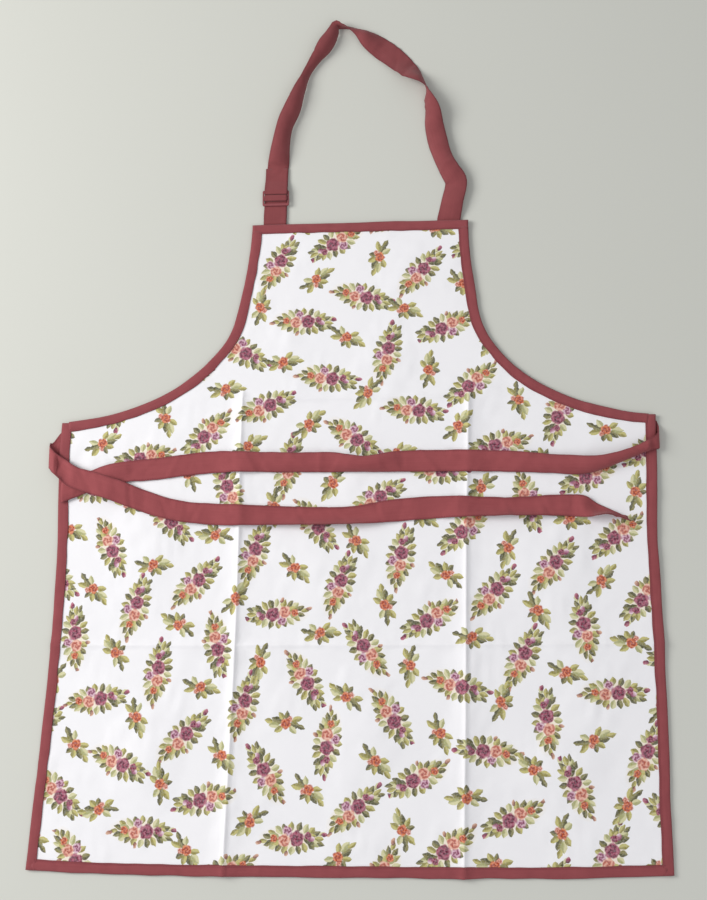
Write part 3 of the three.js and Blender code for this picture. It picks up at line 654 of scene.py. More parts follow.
def lay(x, y, z, with_relief=True):
    """Takes points of the flat pattern to where they lie, in the object's frame"""
    x, y, z = np.broadcast_arrays(np.asarray(x, float), np.asarray(y, float), np.asarray(z, float))
    down = np.clip(-y / SKIRT_LENGTH, 0, 1)
    side = np.clip(x / half_width(y), -1, 1)
    pull = np.where(side < 0, through(down, SIDE_DOWN, SIDE_LEFT), through(down, SIDE_DOWN, SIDE_RIGHT))
    bow = HEM_BOW * (1 - side ** 4) * down * down
    up = z + lift(y) + (relief(x, y) if with_relief else 0)
    return np.stack([x + LEAN * y + SIDE_WANDER * pull * np.abs(side), y - bow, up], -1) + OFFSET


def make_piece(name, points, faces, flat, finishes, face_finish=None):
    """A mesh object in metres, with its flat pattern place kept for its finish"""
    mesh = bpy.data.meshes.new(name)
    mesh.from_pydata((np.asarray(points) * MM).tolist(), [], faces)
    mesh.validate()
    attribute = mesh.attributes.new("pattern", "FLOAT_VECTOR", "POINT")
    attribute.data.foreach_set("vector", np.asarray(flat, np.float32).ravel())
    for finish in finishes:
        mesh.materials.append(finish)
    if face_finish is not None:
        mesh.polygons.foreach_set("material_index", np.asarray(face_finish, np.int32))
    mesh.polygons.foreach_set("use_smooth", np.ones(len(mesh.polygons), bool))
    mesh.update()
    piece = bpy.data.objects.new(name, mesh)
    bpy.context.scene.collection.objects.link(piece)
    return piece


def keep(piece, slot, *nodes):
    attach(piece, "root")
    if nodes:
        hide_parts(*nodes)
    return piece


def armhole_line(count):
    """Points of the right armhole edge from the bib's top to the waist corner, evenly spaced"""
    xs = BIB_HALF + (WAIST_HALF - BIB_HALF) * np.array(ARMHOLE_REACH)
    ys = BIB_HEIGHT * np.array(ARMHOLE_RISE)
    chords = np.concatenate([[0], np.cumsum(np.hypot(np.diff(xs), np.diff(ys)))])
    dense = np.linspace(0, chords[-1], 800)
    x = through(dense, chords, xs)
    y = through(dense, chords, ys)
    length = np.concatenate([[0], np.cumsum(np.hypot(np.diff(x), np.diff(y)))])
    even = np.linspace(0, length[-1], count)
    return np.stack([np.interp(even, length, x), np.interp(even, length, y)], -1)


def stations(low, high, step, sharp):
    """Stations between low and high, closer together near the sharp places"""
    kept = set(np.linspace(low, high, math.ceil((high - low) / step) + 1))
    for centre in sharp:
        near = centre + np.concatenate([np.arange(-9.6, 9.7, 1.2), [-20, -16, -12.5, 12.5, 16, 20]])
        kept = {v for v in kept if abs(v - centre) > 21.5} | set(near)
    return np.array(sorted(v for v in kept if low <= v <= high))


def outline_points(inset):
    """The body's outline, moved in by inset, going round from the bib's top left corner"""
    arm = armhole_line(160)
    travel = np.gradient(arm, axis=0)
    travel /= np.linalg.norm(travel, axis=1)[:, None]
    arm = arm + inset * np.stack([travel[:, 1], -travel[:, 0]], -1)
    arm = arm[(arm[:, 1] < BIB_HEIGHT - inset) & (arm[:, 0] < WAIST_HALF - inset)]
    side_y = np.linspace(-inset, -SKIRT_LENGTH + inset, 60)
    side = np.stack([half_width(side_y) - inset, side_y], -1)
    right = np.concatenate([[[BIB_HALF - inset, BIB_HEIGHT - inset]], arm, side])
    return np.concatenate([right, (right * (-1, 1))[::-1]])


def distance_inside(points, outline):
    """Distance from each point to the outline, positive inside it, and the nearest place on it"""
    best = np.full(len(points), np.inf)
    nearest = np.zeros_like(points)
    crossings = np.zeros(len(points), int)
    for a, b in zip(outline, np.roll(outline, -1, axis=0)):
        along = b - a
        share = np.clip(((points - a) @ along) / max(along @ along, 1e-12), 0, 1)
        place = a + share[:, None] * along
        gap = np.hypot(*(points - place).T)
        closer = gap < best
        best[closer] = gap[closer]
        nearest[closer] = place[closer]
        spans = (a[1] > points[:, 1]) != (b[1] > points[:, 1])
        rise = along[1] if abs(along[1]) > 1e-12 else 1e-12
        crossings += spans & (points[:, 0] < a[0] + (points[:, 1] - a[1]) * along[0] / rise)
    return np.where(crossings % 2 == 1, best, -best), nearest


def printed_panel(finishes):
    """The body's cloth: a thin closed sheet that ends inside the tape"""
    step = 4
    xs = stations(-HEM_HALF - step, HEM_HALF + step, step, (-FOLD_HALF, FOLD_HALF))
    ys = stations(-SKIRT_LENGTH - step, BIB_HEIGHT + step, step, (-SKIRT_FOLD_DROP, BIB_FOLD_RISE))
    grid_x, grid_y = np.meshgrid(xs, ys)
    flat = np.stack([grid_x.ravel(), grid_y.ravel()], -1)
    outline = outline_points(1.6)
    depth, nearest = distance_inside(flat, outline)
    snapped = np.abs(depth) < 0.49 * step
    flat[snapped] = nearest[snapped]
    inside = (depth > 0) | snapped
    columns = len(xs)
    corner = np.arange(len(flat)).reshape(len(ys), columns)
    a, b = corner[:-1, :-1].ravel(), corner[:-1, 1:].ravel()
    c, d = corner[1:, 1:].ravel(), corner[1:, :-1].ravel()
    cells = np.stack([a, b, c, d], -1)
    held = inside[cells]
    whole = cells[held.all(1)]
    threes = [cells[held.sum(1) == 3][i] for i in range((held.sum(1) == 3).sum())]
    masks = held[held.sum(1) == 3]
    corners = [list(cell[mask]) for cell, mask in zip(threes, masks)]
    faces = [list(f) for f in whole] + corners
    used = np.unique(np.concatenate([np.ravel(f) for f in faces]))
    rename = np.full(len(flat), -1)
    rename[used] = np.arange(len(used))
    flat = flat[used]
    faces = [[int(rename[v]) for v in face] for face in faces]
    count = len(flat)
    top = lay(flat[:, 0], flat[:, 1], CLOTH_TOP)
    under = lay(flat[:, 0], flat[:, 1], CLOTH_BOTTOM)
    edges = {}
    for face in faces:
        for p, q in zip(face, face[1:] + face[:1]):
            if (q, p) in edges:
                del edges[(q, p)]
            else:
                edges[(p, q)] = True
    below = [[v + count for v in reversed(face)] for face in faces]
    rim = [[q, p, p + count, q + count] for p, q in edges]
    pattern = np.column_stack([np.tile(flat, (2, 1)), np.repeat([0.0, 1.0], count)])
    kinds = [0] * len(faces) + [1] * len(below) + [0] * len(rim)
    piece = make_piece("printed_panel", np.concatenate([top, under]), faces + below + rim, pattern, finishes, kinds)
    return piece, polygon_area(outline)


def polygon_area(points):
    x, y = points.T
    return abs(np.sum(x * np.roll(y, -1) - np.roll(x, -1) * y)) / 2


# Section of the folded tape: depth in from the body's edge, and height
TAPE_SECTION = (
    (12, 2.5), (12.15, 2.85), (11.9, 3.12), (11.2, 3.22), (10.6, 3.1), (10, 2.98), (9.4, 3.08), (8, 3.28),
    (5, TAPE_TOP), (2.4, 3.24), (0.9, 2.9), (0.15, 2.3), (0, 1.7), (0.15, 1.05), (0.9, 0.45), (2.4, 0.1),
    (5, 0.02), (8, 0.08), (9.4, 0.24), (10, 0.34), (10.6, 0.24), (11.2, 0.1), (11.9, 0.16), (12.15, 0.5),
    (12, 1.5), (9, 1.6), (2.2, 1.6), (1.4, 2.0), (2.2, 2.4), (9, 2.42),
)


def tube_faces(rings, size, closed_ends=True):
    """Faces that join rings of equally many points"""
    faces = []
    for i in range(rings - 1):
        for j in range(size):
            k = (j + 1) % size
            faces.append([i * size + j, i * size + k, (i + 1) * size + k, (i + 1) * size + j])
    if closed_ends:
        faces.append(list(range(size))[::-1])
        faces.append([(rings - 1) * size + j for j in range(size)])
    return faces


def folded_tape(name, outer, inward, finish, seed):
    """Tape folded round an edge, from points of the edge and the directions in from it"""
    chance = np.random.default_rng(seed)
    outer = np.asarray(outer, float)
    inward = np.asarray(inward, float)
    along = np.concatenate([[0], np.cumsum(np.hypot(*np.diff(outer, axis=0).T))])
    section = np.array(TAPE_SECTION)
    waver = 0.35 * ripples(along, 0 * along, seed, 40, 120, 6)
    inner_waver = 0.3 * ripples(along, 0 * along, seed + 1, 18, 70, 8)
    puff = 0.1 * ripples(along, 0 * along, seed + 2, 7, 26, 8)
    share = np.clip(section[:, 0] / TAPE_WIDTH, 0, 1)
    depth = section[None, :, 0] + waver[:, None] * (1 - share) + inner_waver[:, None] * share
    upper = np.clip((section[:, 1] - 1.7) / 1.6, 0, 1)
    height = section[None, :, 1] + puff[:, None] * upper * (1 - 0.7 * share)
    x = outer[:, None, 0] + inward[:, None, 0] * depth
    y = outer[:, None, 1] + inward[:, None, 1] * depth
    points = lay(x, y, height).reshape(-1, 3)
    size = len(section)
    round_it = np.concatenate([[0], np.cumsum(np.hypot(*np.diff(section, axis=0).T))])
    flat = np.stack([np.tile(round_it, len(outer)), np.repeat(along, size), np.zeros(len(points))], -1)
    start = chance.uniform(0, 100)
    flat[:, 1] += start
    return make_piece(name, points, oriented(points, tube_faces(len(outer), size)), flat, [finish])


def oriented(points, faces):
    """The faces turned so that they point out of the closed mesh"""
    corners = np.array([[f[0], f[i], f[i + 1]] for f in faces for i in range(1, len(f) - 1)])
    a, b, c = (points[corners[:, i]] for i in range(3))
    volume = np.einsum("ij,ij->i", a - points.mean(0), np.cross(b - points.mean(0), c - points.mean(0))).sum()
    return faces if volume > 0 else [f[::-1] for f in faces]


def stitch_row(starts, ends, ups, radius=THREAD_RADIUS):
    """Small thread stitches from start to end points, standing out along ups, as points and faces"""
    travel = ends - starts
    length = np.linalg.norm(travel, axis=1)[:, None]
    travel = travel / np.maximum(length, 1e-9)
    side = np.cross(travel, ups)
    points = []
    for share, thick in ((0, 0), (0.16, 0.85), (0.5, 1), (0.84, 0.85), (1, 0)):
        centre = starts + travel * length * share
        if thick == 0:
            points.append((centre - ups * radius * 0.9)[:, None, :])
            continue
        ring = [centre + radius * thick * (math.cos(t) * side + math.sin(t) * ups)
                for t in np.arange(5) * math.tau / 5]
        points.append(np.stack(ring, 1))
    block = np.concatenate(points, axis=1)
    size = block.shape[1]
    faces = []
    for j in range(5):
        k = (j + 1) % 5
        faces.append([0, 1 + k, 1 + j])
        faces.append([1 + j, 1 + k, 6 + k, 6 + j])
        faces.append([6 + j, 6 + k, 11 + k, 11 + j])
        faces.append([11 + j, 11 + k, 16])
    all_faces = [[v + i * size for v in f] for i in range(len(block)) for f in faces]
    return block.reshape(-1, 3), all_faces


def gather_rows(rows):
    """Joins rows of points and faces into one"""
    points = []
    faces = []
    count = 0
    for row_points, row_faces in rows:
        points.append(row_points)
        faces += [[v + count for v in f] for f in row_faces]
        count += len(row_points)
    return np.concatenate(points), faces


def tape_stitches(outer, inward, top_height=3.06, under_height=0.26):
    """Rows of stitches near the tape's inner edge, above and below"""
    outer = np.asarray(outer, float)
    inward = np.asarray(inward, float)
    line = outer + inward * TAPE_STITCH_DEPTH
    along = np.concatenate([[0], np.cumsum(np.hypot(*np.diff(line, axis=0).T))])
    starts = np.arange(1.5, along[-1] - STITCH_LENGTH - 1, STITCH_PITCH)
    rows = []
    for height, way in ((top_height, 1), (under_height, -1)):
        ends = []
        for at in (starts, starts + STITCH_LENGTH):
            ends.append(lay(np.interp(at, along, line[:, 0]), np.interp(at, along, line[:, 1]), height))
        rows.append(stitch_row(*ends, np.tile([0.0, 0.0, way], (len(starts), 1))))
    return rows


def armhole_edge(side):
    """Outer points and inward directions of the tape on one armhole"""
    line = armhole_line(180)
    travel = np.gradient(line, axis=0)
    travel /= np.linalg.norm(travel, axis=1)[:, None]
    inward = np.stack([travel[:, 1], -travel[:, 0]], -1)
    inward[0] = (-1, 0)
    kept = (line[:, 1] < BIB_HEIGHT - 7) & (line[:, 0] < WAIST_HALF - 7)
    return line[kept] * (side, 1), inward[kept] * (side, 1)


def straight_edge(start, end, inward, step=3):
    count = max(2, round(math.dist(start, end) / step))
    share = np.linspace(0, 1, count)[:, None]
    line = np.array(start) * (1 - share) + np.array(end) * share
    return line, np.tile(inward, (count, 1))


# Straps and ties

def strap_section(width, gather, over=1.0):
    """Points round a doubled strap's section: across and up, thinner along its two rows of stitches. A gathered
    strap bows up, as far as over says, from 1 to -1 where it lies on its other face"""
    shares = np.array([-1, -0.97, -0.9, -0.8, -0.6, -0.3, 0, 0.3, 0.6, 0.8, 0.9, 0.97, 1])
    inset = 1 - 2 * STRAP_STITCH_INSET / width
    puff = np.array([0.35, 0.75, 0.98, 1, 1, 1, 1, 1, 1, 1, 0.98, 0.75, 0.35])
    dip = 0.28 * np.exp(-(((np.abs(shares) - inset) / 0.05) ** 2))
    thick = STRAP_THICKNESS / 2 * (puff - dip)
    bow = min(math.sqrt(6 * max(0, 1 - gather)), BOW_LIMIT) * over
    reach = gather * width / 2
    if abs(bow) > 0.05:
        radius = reach / math.sin(bow)
        middle = np.stack([radius * np.sin(bow * shares), radius * (np.cos(bow * shares) - math.cos(bow))], -1)
        out = np.stack([np.sin(bow * shares), np.cos(bow * shares)], -1)
    else:
        middle = np.stack([reach * shares, 0 * shares], -1)
        out = np.stack([0 * shares, 1 + 0 * shares], -1)
    upper = middle + out * thick[:, None]
    lower = middle - out * thick[:, None]
    return np.concatenate([lower, upper[::-1]]), shares


def strap_wrinkles(across, along, seed):
    """Height of a strap's rumples and cross folds, on a grid of places across and along it"""
    chance = np.random.default_rng(seed)
    height = 0.14 * ripples(across, along, seed, 16, 44, 10) + 0.08 * ripples(across, along, seed + 1, 7, 15, 10)
    place = chance.uniform(10, 26)
    while place < along.max():
        slope, strong, spread = chance.uniform((-1.2, 0.5, 2.8), (1.2, 1.5, 6))
        height = height + strong * cusp(along - place - across * slope, spread)
        place += chance.uniform(14, 48)
    return height


def strap_piece(name, at, side, roll, gather, width, finish, seed, calm=1.0, ground=None):
    """A strap through sections of place, side direction, roll and gather. calm takes the rumples away at 0, and
    ground gives the lowest heights that a section's points may have"""
    travel = np.gradient(at, axis=0)
    travel /= np.linalg.norm(travel, axis=1)[:, None]
    side = side / np.linalg.norm(side, axis=1)[:, None]
    normal = np.cross(side, travel)
    normal /= np.linalg.norm(normal, axis=1)[:, None]
    slant = np.sqrt(1 - np.sum(side * travel, 1) ** 2)
    turn = np.radians(-roll)[:, None]
    side_r = turned(side, travel, turn)
    normal_r = turned(normal, travel, turn)
    along = np.concatenate([[0], np.cumsum(np.linalg.norm(np.diff(at, axis=0), axis=1))])
    waver = 1 + 0.014 * ripples(along, 0 * along, seed + 2, 12, 50, 8)
    calm = np.broadcast_to(calm, len(at))
    over = np.cos(np.radians(roll)) * calm
    sections = [strap_section(width * waver[i], gather[i], over[i]) for i in range(len(at))]
    shares = sections[0][1]
    across = np.concatenate([shares, shares[::-1]]) * width / 2
    grid_across, grid_along = np.meshgrid(across, along)
    rumple = strap_wrinkles(grid_across, grid_along, seed) * calm[:, None]
    rings = []
    for i, (section, _) in enumerate(sections):
        up = section[:, 1] + rumple[i]
        ring = at[i] + section[:, :1] / slant[i] * side_r[i] + up[:, None] * normal_r[i]
        rings.append(ring)
    raised = [(np.maximum(LOWEST, ground(ring, i) if ground else 0) - ring[:, 2]).max() for i, ring in enumerate(rings)]
    raised = windowed(windowed(np.maximum(raised, 0), 1, np.max), 1, np.mean)
    for ring, height in zip(rings, raised):
        ring[:, 2] += height
    points = np.concatenate(rings)
    layer = np.tile(np.repeat([0.0, 1.0], len(shares)), len(at))
    flats = np.stack([grid_across.ravel(), grid_along.ravel(), layer], -1)
    faces = oriented(points, tube_faces(len(at), len(across)))
    piece = make_piece(name, points, faces, flats, [finish])
    return piece, strap_stitches(rings, along, normal_r), along[-1]


def turned(vectors, axes, angles):
    """Vectors turned about axes by angles"""
    cross = np.cross(axes, vectors)
    dot = np.sum(axes * vectors, 1)[:, None]
    return vectors * np.cos(angles) + cross * np.sin(angles) + axes * dot * (1 - np.cos(angles))


def strap_stitches(rings, along, normal):
    """Two rows of stitches on each face of a strap"""
    rings = np.array(rings)
    half = rings.shape[1] // 2
    starts = np.arange(2, along[-1] - STITCH_LENGTH - 2, STITCH_PITCH)
    rows = []
    for corner, way in ((2, -1), (10, -1), (2 * half - 3, 1), (2 * half - 11, 1)):
        line = rings[:, corner] * 0.55 + rings[:, corner + (1 if corner in (2, 2 * half - 11) else -1)] * 0.45
        ends = []
        for at in (starts, starts + STITCH_LENGTH):
            ends.append(np.stack([np.interp(at, along, line[:, i]) for i in range(3)], -1))
        ups = np.stack([np.interp(starts, along, normal[:, i]) for i in range(3)], -1) * way
        ups /= np.linalg.norm(ups, axis=1)[:, None]
        rows.append(stitch_row(*ends, ups, THREAD_RADIUS * 0.9))
    return rows


def along_rows(rows, places, step):
    """Sections between the rows of a table, at about this step: their places and the table's other columns"""
    rows = np.array(rows, float)
    chords = np.concatenate([[0], np.cumsum(np.sqrt(np.linalg.norm(np.diff(places, axis=0), axis=1)))])
    dense = np.linspace(0, chords[-1], 4000)
    line = np.stack([through(dense, chords, places[:, i]) for i in range(3)], -1)
    length = np.concatenate([[0], np.cumsum(np.linalg.norm(np.diff(line, axis=0), axis=1))])
    even = np.linspace(0, length[-1], math.ceil(length[-1] / step) + 1)
    key = np.interp(even, length, dense)
    at = np.stack([np.interp(even, length, line[:, i]) for i in range(3)], -1)
    columns = [through(key, chords, rows[:, i]) for i in range(rows.shape[1])]
    return at, columns


def leaned(x, y, z):
    return np.array([x + LEAN * y, y, z]) + OFFSET


def rounded_path(corners, radius, step=3.0):
    """A path seen from the side, as along and height, with its corners rounded and its runs divided"""
    corners = [np.array(c, float) for c in corners]
    path = [corners[0]]
    for before, here, after in zip(corners, corners[1:], corners[2:]):
        start = here + (before - here) / np.linalg.norm(before - here) * radius
        end = here + (after - here) / np.linalg.norm(after - here) * radius
        for share in np.linspace(0, 1, 6):
            path.append((start * (1 - share) + here * share) * (1 - share) + (here * (1 - share) + end * share) * share)
    path.append(corners[-1])
    fine = [path[0]]
    for a, b in zip(path, path[1:]):
        count = max(1, math.ceil(np.linalg.norm(b - a) / step))
        fine += [a + (b - a) * (i + 1) / count for i in range(count)]
    return fine


RIGHT_STRAP_PLACE = BIB_HALF - RIGHT_STRAP_INSET
LEFT_STRAP_PLACE = BIB_HALF - LEFT_STRAP_INSET
SLIDER_ALONG = BIB_HEIGHT + SLIDER_DISTANCE
BAR_PITCH = SLIDER_BAR + SLIDER_SLOT
WRAP_OFFSET = WRAP_GAP + STRAP_THICKNESS / 2
SLIDER_BOTTOM = 2 * STRAP_THICKNESS + 2 * SEAM_GAP
SLIDER_TOP = SLIDER_BOTTOM + SLIDER_THICKNESS


def neck_strap(finish):
    places = []
    for across, rise, _, _ in NECK_ROUTE:
        base = RIGHT_STRAP_PLACE if across > 0 else LEFT_STRAP_PLACE
        places.append(leaned(across * base, BIB_HEIGHT + rise * NECK_REACH, 0))
    at, (_, _, turn, gather) = along_rows(NECK_ROUTE, np.array(places), 3)
    sewn = leaned(RIGHT_STRAP_PLACE, BIB_HEIGHT - STRAP_LAP, 0)
    lap = [sewn + (at[0] - sewn) * share for share in np.arange(0, 1, 0.15)]
    at = np.concatenate([lap, at])
    turn = np.concatenate([np.zeros(len(lap)), turn])
    gather = np.concatenate([np.ones(len(lap)), gather])
    travel = np.gradient(at, axis=0)
    angle = np.radians(turn)
    at[:, 2] = (np.abs(np.sin(angle)) * STRAP_WIDTH * gather + np.abs(np.cos(angle)) * STRAP_THICKNESS) / 2
    side = np.stack([travel[:, 1], -travel[:, 0], 0 * travel[:, 0]], -1)

    # The end goes under the slider's top bar, up through the slot and back over the bar on itself
    top_bar = SLIDER_ALONG + BAR_PITCH
    under_bar = SLIDER_BOTTOM - WRAP_OFFSET
    over_bar = SLIDER_TOP + WRAP_OFFSET
    in_slot = top_bar - SLIDER_BAR / 2 - WRAP_OFFSET - SLOT_FILL
    on_itself = STRAP_THICKNESS * 1.5 + SEAM_GAP
    path = rounded_path([
        (top_bar + STRAP_SETTLE, STRAP_THICKNESS / 2),
        (top_bar + SLIDER_BAR, under_bar),
        (in_slot, under_bar),
        (in_slot, over_bar),
        (top_bar + SLIDER_BAR / 2, over_bar),
        (top_bar + TAIL_SETTLE, on_itself + SEAM_GAP),
        (top_bar + STRAP_TAIL, on_itself),
    ], FOLD_RADIUS)
    folded = np.array([leaned(-LEFT_STRAP_PLACE, along, height) for along, height in path])
    at = np.concatenate([at, folded])
    side = np.concatenate([side, np.tile([-1.0, 0, 0], (len(folded), 1))])
    turn = np.concatenate([turn, np.zeros(len(folded))])
    gather = np.concatenate([gather, np.ones(len(folded))])
    calm = np.concatenate([np.ones(len(at) - len(folded)), np.zeros(len(folded))])
    calm[:len(lap)] = 0
    return strap_piece("neck_strap_cloth", at, side, turn, gather, STRAP_WIDTH, finish, 41, windowed(calm, 2, np.mean))


def slider_loop(finish):
    """From behind the bib under the slider, round its middle bar and back to the bib's edge"""
    under = STRAP_THICKNESS / 2
    returning = STRAP_THICKNESS * 1.5 + SEAM_GAP
    over = SLIDER_TOP + WRAP_OFFSET
    beyond = SLIDER_ALONG + SLIDER_BAR / 2 + WRAP_OFFSET + SLOT_FILL
    before = SLIDER_ALONG - SLIDER_BAR / 2 - WRAP_OFFSET - SLOT_FILL
    path = rounded_path([
        (BIB_HEIGHT - STRAP_LAP, under),
        (beyond, under),
        (beyond, over),
        (before, over),
        (before, returning),
        (BIB_HEIGHT + SEAM_GAP, returning),
    ], FOLD_RADIUS)
    at = np.array([leaned(-LEFT_STRAP_PLACE, along, height) for along, height in path])
    side = np.tile([1.0, 0, 0], (len(at), 1))
    flat = np.zeros(len(at))
    return strap_piece("slider_loop_cloth", at, side, flat, flat + 1, STRAP_WIDTH, finish, 44, 0)


def body_top(x, y):
    """Top of the body at a pattern place, with the tape at its edges"""
    edge = half_width(y)
    inside = np.clip(x, -edge, edge)
    on_tape = (np.abs(inside) > edge - TAPE_WIDTH - 2) | (y < -SKIRT_LENGTH + TAPE_WIDTH)
    return np.where(on_tape, TAPE_TOP + 0.1, CLOTH_TOP) + lift(y) + relief(inside, y)


def windowed(values, reach, pick):
    padded = np.pad(values, reach, mode="edge")
    return np.array([pick(padded[i:i + 2 * reach + 1]) for i in range(len(values))])


def pattern_place(points):
    """The flat pattern's place under points of the object's frame"""
    x, y = (points - OFFSET)[..., 0], (points - OFFSET)[..., 1]
    flat_x, flat_y = x - LEAN * y, y
    for _ in range(3):
        laid = lay(flat_x, flat_y, 0, with_relief=False) - OFFSET
        flat_x = flat_x + x - laid[..., 0]
        flat_y = flat_y + y - laid[..., 1]
    return flat_x, flat_y


def waist_tie(name, route, way, reach, below, finish, seed):
    """A tie from its sewn end under the body, folded over the side edge and laid across the front"""
    places = np.array([(way * (WAIST_HALF - along * reach), -drop * TIE_DROP, 0) for along, drop, *_ in route])
    at, (_, _, fold, roll, gather) = along_rows(route, places, 3)
    start = at[0]
    lap = [start + np.array([-way * TIE_LAP, TIE_SLANT, 0]) * (1 - share) for share in np.arange(0, 1, 0.15)]
    at = np.concatenate([lap, at])
    fold = np.clip(np.concatenate([np.zeros(len(lap)), fold]), 0, 1)
    roll = np.concatenate([np.zeros(len(lap)), roll]) * fold
    gather = np.concatenate([np.ones(len(lap)), gather])
    width = TIE_WIDTH * gather
    laid = lay(at[:, 0], at[:, 1], 0, with_relief=False)
    support = np.zeros(len(at))
    angle = np.radians(np.abs(roll))
    for share in np.linspace(-0.55, 0.55, 12):
        reach_y = share * width * np.cos(angle)
        place_x, place_y = pattern_place(laid + np.stack([0 * width, reach_y, 0 * width], -1))
        held = body_top(place_x, place_y)
        for other in below:
            probe = laid[:, :2] + np.stack([0 * width, reach_y], -1)
            gaps = np.hypot(*(probe[:, None, :] - other["at"][None, :, :2]).transpose(2, 0, 1))
            near = gaps.min(1) < TIE_WIDTH / 2 + 2
            held = np.where(near, np.maximum(held, other["top"][gaps.argmin(1)]), held)
        support = np.maximum(support, held - way * share * width * np.sin(np.radians(roll)))
    support = windowed(windowed(support, 3, np.max), 3, np.mean)
    under = STRAP_THICKNESS / 2
    along = np.arange(len(at)) * 3.0
    waves = 0.35 * (1 + ripples(along, 0 * along, seed, 45, 110, 6)).clip(0)
    over = support + 0.75 + STRAP_THICKNESS / 2 + waves
    laid[:, 2] = under + (over - under) * fold
    side = np.tile([0.0, 1.0, 0.0], (len(at), 1))
    calm = windowed(np.where(fold > 0.99, 1.0, 0.0), 3, np.min)

    def ground(ring, i):
        """Lowest heights of a section's points: clear of the body, and of the ties that it lies on"""
        if fold[i] <= 0.995:
            return 0
        x, y = pattern_place(ring)
        held = np.max([body_top(x + aside, y) for aside in (-2, -1, 0, 1, 2)], axis=0)
        for other in below:
            gaps = np.hypot(*(ring[:, None, :2] - other["points"][None, :, :2]).transpose(2, 0, 1))
            crossed = np.where(gaps < CROSSING_REACH, other["points"][None, :, 2], 0).max(1)
            held = np.maximum(held, crossed)
        return held + TIE_CLEARANCE

    made = strap_piece(name, laid, side, roll, gather, TIE_WIDTH, finish, seed, calm, ground)
    corners = np.array([v.co[:] for v in made[0].data.vertices]) / MM
    return made, {"at": laid, "top": laid[:, 2] + np.sin(angle) * width / 2 + STRAP_THICKNESS / 2 + 0.4,
                  "points": corners}


def strap_slider(finish):
    """Three bars and two slots, with rounded edges"""
    bevel = 0.55
    curve = bpy.data.curves.new("slider", "CURVE")
    curve.dimensions = "2D"
    curve.fill_mode = "BOTH"
    curve.extrude = SLIDER_THICKNESS / 2 - bevel
    curve.bevel_depth = bevel
    curve.bevel_resolution = 3
    length = 3 * SLIDER_BAR + 2 * SLIDER_SLOT
    slot_width = STRAP_WIDTH + 1
    loops = [rounded_loop(0, 0, SLIDER_WIDTH - 2 * bevel, length - 2 * bevel, SLIDER_CORNER - bevel)]
    for way in (-1, 1):
        loops.append(rounded_loop(0, way * BAR_PITCH / 2, slot_width + 2 * bevel, SLIDER_SLOT + 2 * bevel, 1.2))
    for loop in loops:
        spline = curve.splines.new("POLY")
        spline.points.add(len(loop) - 1)
        for point, (x, y) in zip(spline.points, loop):
            point.co = (x, y, 0, 1)
        spline.use_cyclic_u = True
    holder = bpy.data.objects.new("slider", curve)
    mesh = bpy.data.meshes.new_from_object(holder)
    bpy.data.objects.remove(holder)
    points = np.zeros(len(mesh.vertices) * 3)
    mesh.vertices.foreach_get("co", points)
    points = points.reshape(-1, 3)
    faces = [list(p.vertices) for p in mesh.polygons]
    place = leaned(-LEFT_STRAP_PLACE, SLIDER_ALONG, SLIDER_BOTTOM + SLIDER_THICKNESS / 2)
    return make_piece("slider_body", points + place, faces, points, [finish])


def rounded_loop(x, y, width, length, corner, steps=5):
    """A rectangle with rounded corners, going round to the left"""
    loop = []
    for quarter, (sx, sy) in enumerate(((1, 1), (-1, 1), (-1, -1), (1, -1))):
        for i in range(steps + 1):
            angle = (quarter + i / steps) * math.pi / 2
            loop.append((x + sx * (width / 2 - corner) + corner * math.cos(angle),
                         y + sy * (length / 2 - corner) + corner * math.sin(angle)))
    return loop


# Put together

tape_finish = burgundy_cloth("binding tape", srgb(126, 58, 63), srgb(164, 86, 90), 0.6, TAPE_EDGES)
tie_finish = burgundy_cloth("tie cloth", srgb(130, 60, 64), srgb(170, 88, 92), 0.8, (-TIE_WIDTH / 2, TIE_WIDTH / 2))
# The strap cloth is darker than the tape and the ties: partly its own colour, partly painted shade for the shade on the
# rolled neck strap
strap_finish = burgundy_cloth("strap cloth", srgb(116, 54, 57), srgb(152, 80, 83), 0.8,
                              (-STRAP_WIDTH / 2, STRAP_WIDTH / 2))
thread_finish = thread("burgundy thread", srgb(112, 44, 52), srgb(150, 78, 86))
panel, panel_area = printed_panel([printed_cotton("printed cotton", 1.0), printed_cotton("printed cotton back", 0.22)])
keep(panel, "printed_cotton", "body_panel")

hem_end = half_width(-SKIRT_LENGTH + TAPE_WIDTH) - 7
edges = {
    "top_tape": ("top_binding", straight_edge((-BIB_HALF, BIB_HEIGHT), (BIB_HALF, BIB_HEIGHT), (0, -1))),
    "armhole_tape_left": ("armhole_binding_left", armhole_edge(-1)),
    "armhole_tape_right": ("armhole_binding_right", armhole_edge(1)),
    "side_tape_left": ("side_binding_left",
                       straight_edge((-WAIST_HALF, 0), (-HEM_HALF, -SKIRT_LENGTH), (1, 0))),
    "side_tape_right": ("side_binding_right",
                        straight_edge((WAIST_HALF, 0), (HEM_HALF, -SKIRT_LENGTH), (-1, 0))),
    "hem_tape": ("hem_binding", straight_edge((-hem_end, -SKIRT_LENGTH), (hem_end, -SKIRT_LENGTH), (0, 1))),
}
rows = []
for seed, (name, (node, (outer, inward))) in enumerate(edges.items()):
    keep(folded_tape(name, outer, inward, tape_finish, 20 + 3 * seed), "binding_tape", node)
    rows += tape_stitches(outer, inward)
points, faces = gather_rows(rows)
tape_thread = keep(make_piece("tape_stitches", points, faces, points, [thread_finish]), "binding_tape")

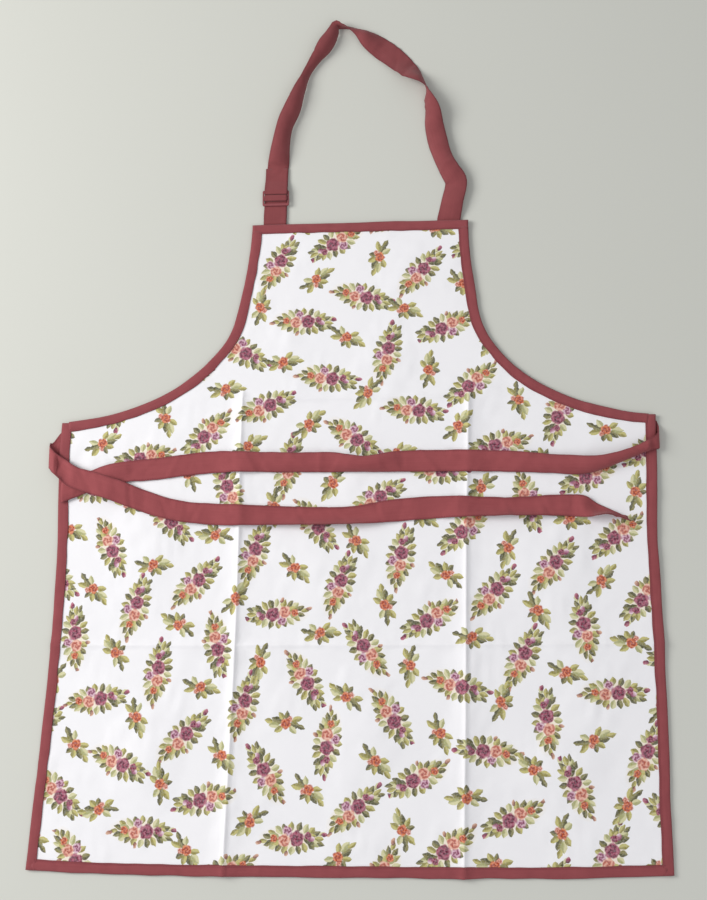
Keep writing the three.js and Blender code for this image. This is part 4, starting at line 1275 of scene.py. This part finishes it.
slider = keep(strap_slider(slider_plastic()), "slider_plastic", "strap_slider")
neck = neck_strap(strap_finish)
loop = slider_loop(strap_finish)
right_tie, right_lies = waist_tie("right_tie_cloth", RIGHT_TIE_ROUTE, 1, RIGHT_TIE_REACH, [], tie_finish, 61)
left_tie, _ = waist_tie("left_tie_cloth", LEFT_TIE_ROUTE, -1, LEFT_TIE_REACH, [right_lies], tie_finish, 62)

STRAPS = (
    (neck, "neck_strap", "neck_strap_stitches", STRAP_WIDTH, "laid", ["studio_floor", "slider_body"]),
    (loop, "buckle_loop", "slider_loop_stitches", STRAP_WIDTH, "folded", ["studio_floor", "slider_body"]),
    (left_tie, "waist_tie_left", "left_tie_stitches", TIE_WIDTH, "laid", ["printed_panel", "right_tie_cloth"]),
    (right_tie, "waist_tie_right", "right_tie_stitches", TIE_WIDTH, "laid", ["printed_panel"]),
)
for (piece, stitches, length), node, name, width, held, rests_on in STRAPS:
    keep(piece, "strap_cloth", node)
    points, faces = gather_rows(stitches)
    sewing = keep(make_piece(name, points, faces, points, [thread_finish]), "strap_cloth")
    width * MM
    length * MM


# Floor, light and camera

def studio_floor():
    half = 4000
    corners = np.array([(-half, -half, -0.2), (half, -half, -0.2), (half, half, -0.2), (-half, half, -0.2)])
    floor = make_piece("studio_floor", corners, [[0, 1, 2, 3]], corners, [floor_finish()])


def area_light(name, place, target, size, power, colour):
    light = bpy.data.lights.new(name, "AREA")
    light.shape = "RECTANGLE"
    light.size, light.size_y = size
    light.energy = power
    light.color = colour
    holder = bpy.data.objects.new(name, light)
    holder.location = place
    holder.rotation_euler = (Vector(target) - Vector(place)).to_track_quat("-Z", "Y").to_euler()
    bpy.context.scene.collection.objects.link(holder)


def world_light(colour, strength):
    world = bpy.data.worlds.new("studio")
    world.use_nodes = True
    background = world.node_tree.nodes["Background"]
    background.inputs["Color"].default_value = (*colour, 1)
    background.inputs["Strength"].default_value = strength
    bpy.context.scene.world = world


def camera():
    data = bpy.data.cameras.new("camera")
    data.lens = CAMERA_LENS
    data.sensor_width = 36
    data.clip_end = 50
    holder = bpy.data.objects.new("camera", data)
    place = (np.array(CAMERA_PLACE) + OFFSET) * MM
    holder.matrix_world = Matrix([
        (CAMERA_RIGHT[i], CAMERA_UP[i], CAMERA_BACK[i], place[i]) for i in range(3)
    ] + [(0, 0, 0, 1)])
    bpy.context.scene.collection.objects.link(holder)
    bpy.context.scene.camera = holder


studio_floor()
area_light("window", (-2.1, 0.4, 1.5), (0, -0.1, 0), (1.3, 1.3), 60, (1, 0.985, 0.96))
area_light("fill", (1.2, -1.6, 2.6), (0, 0, 0), (2.5, 2.5), 21, (0.97, 0.98, 1))
world_light((0.98, 0.99, 1), 0.42)
camera()
bpy.context.scene.view_settings.view_transform = "Standard"
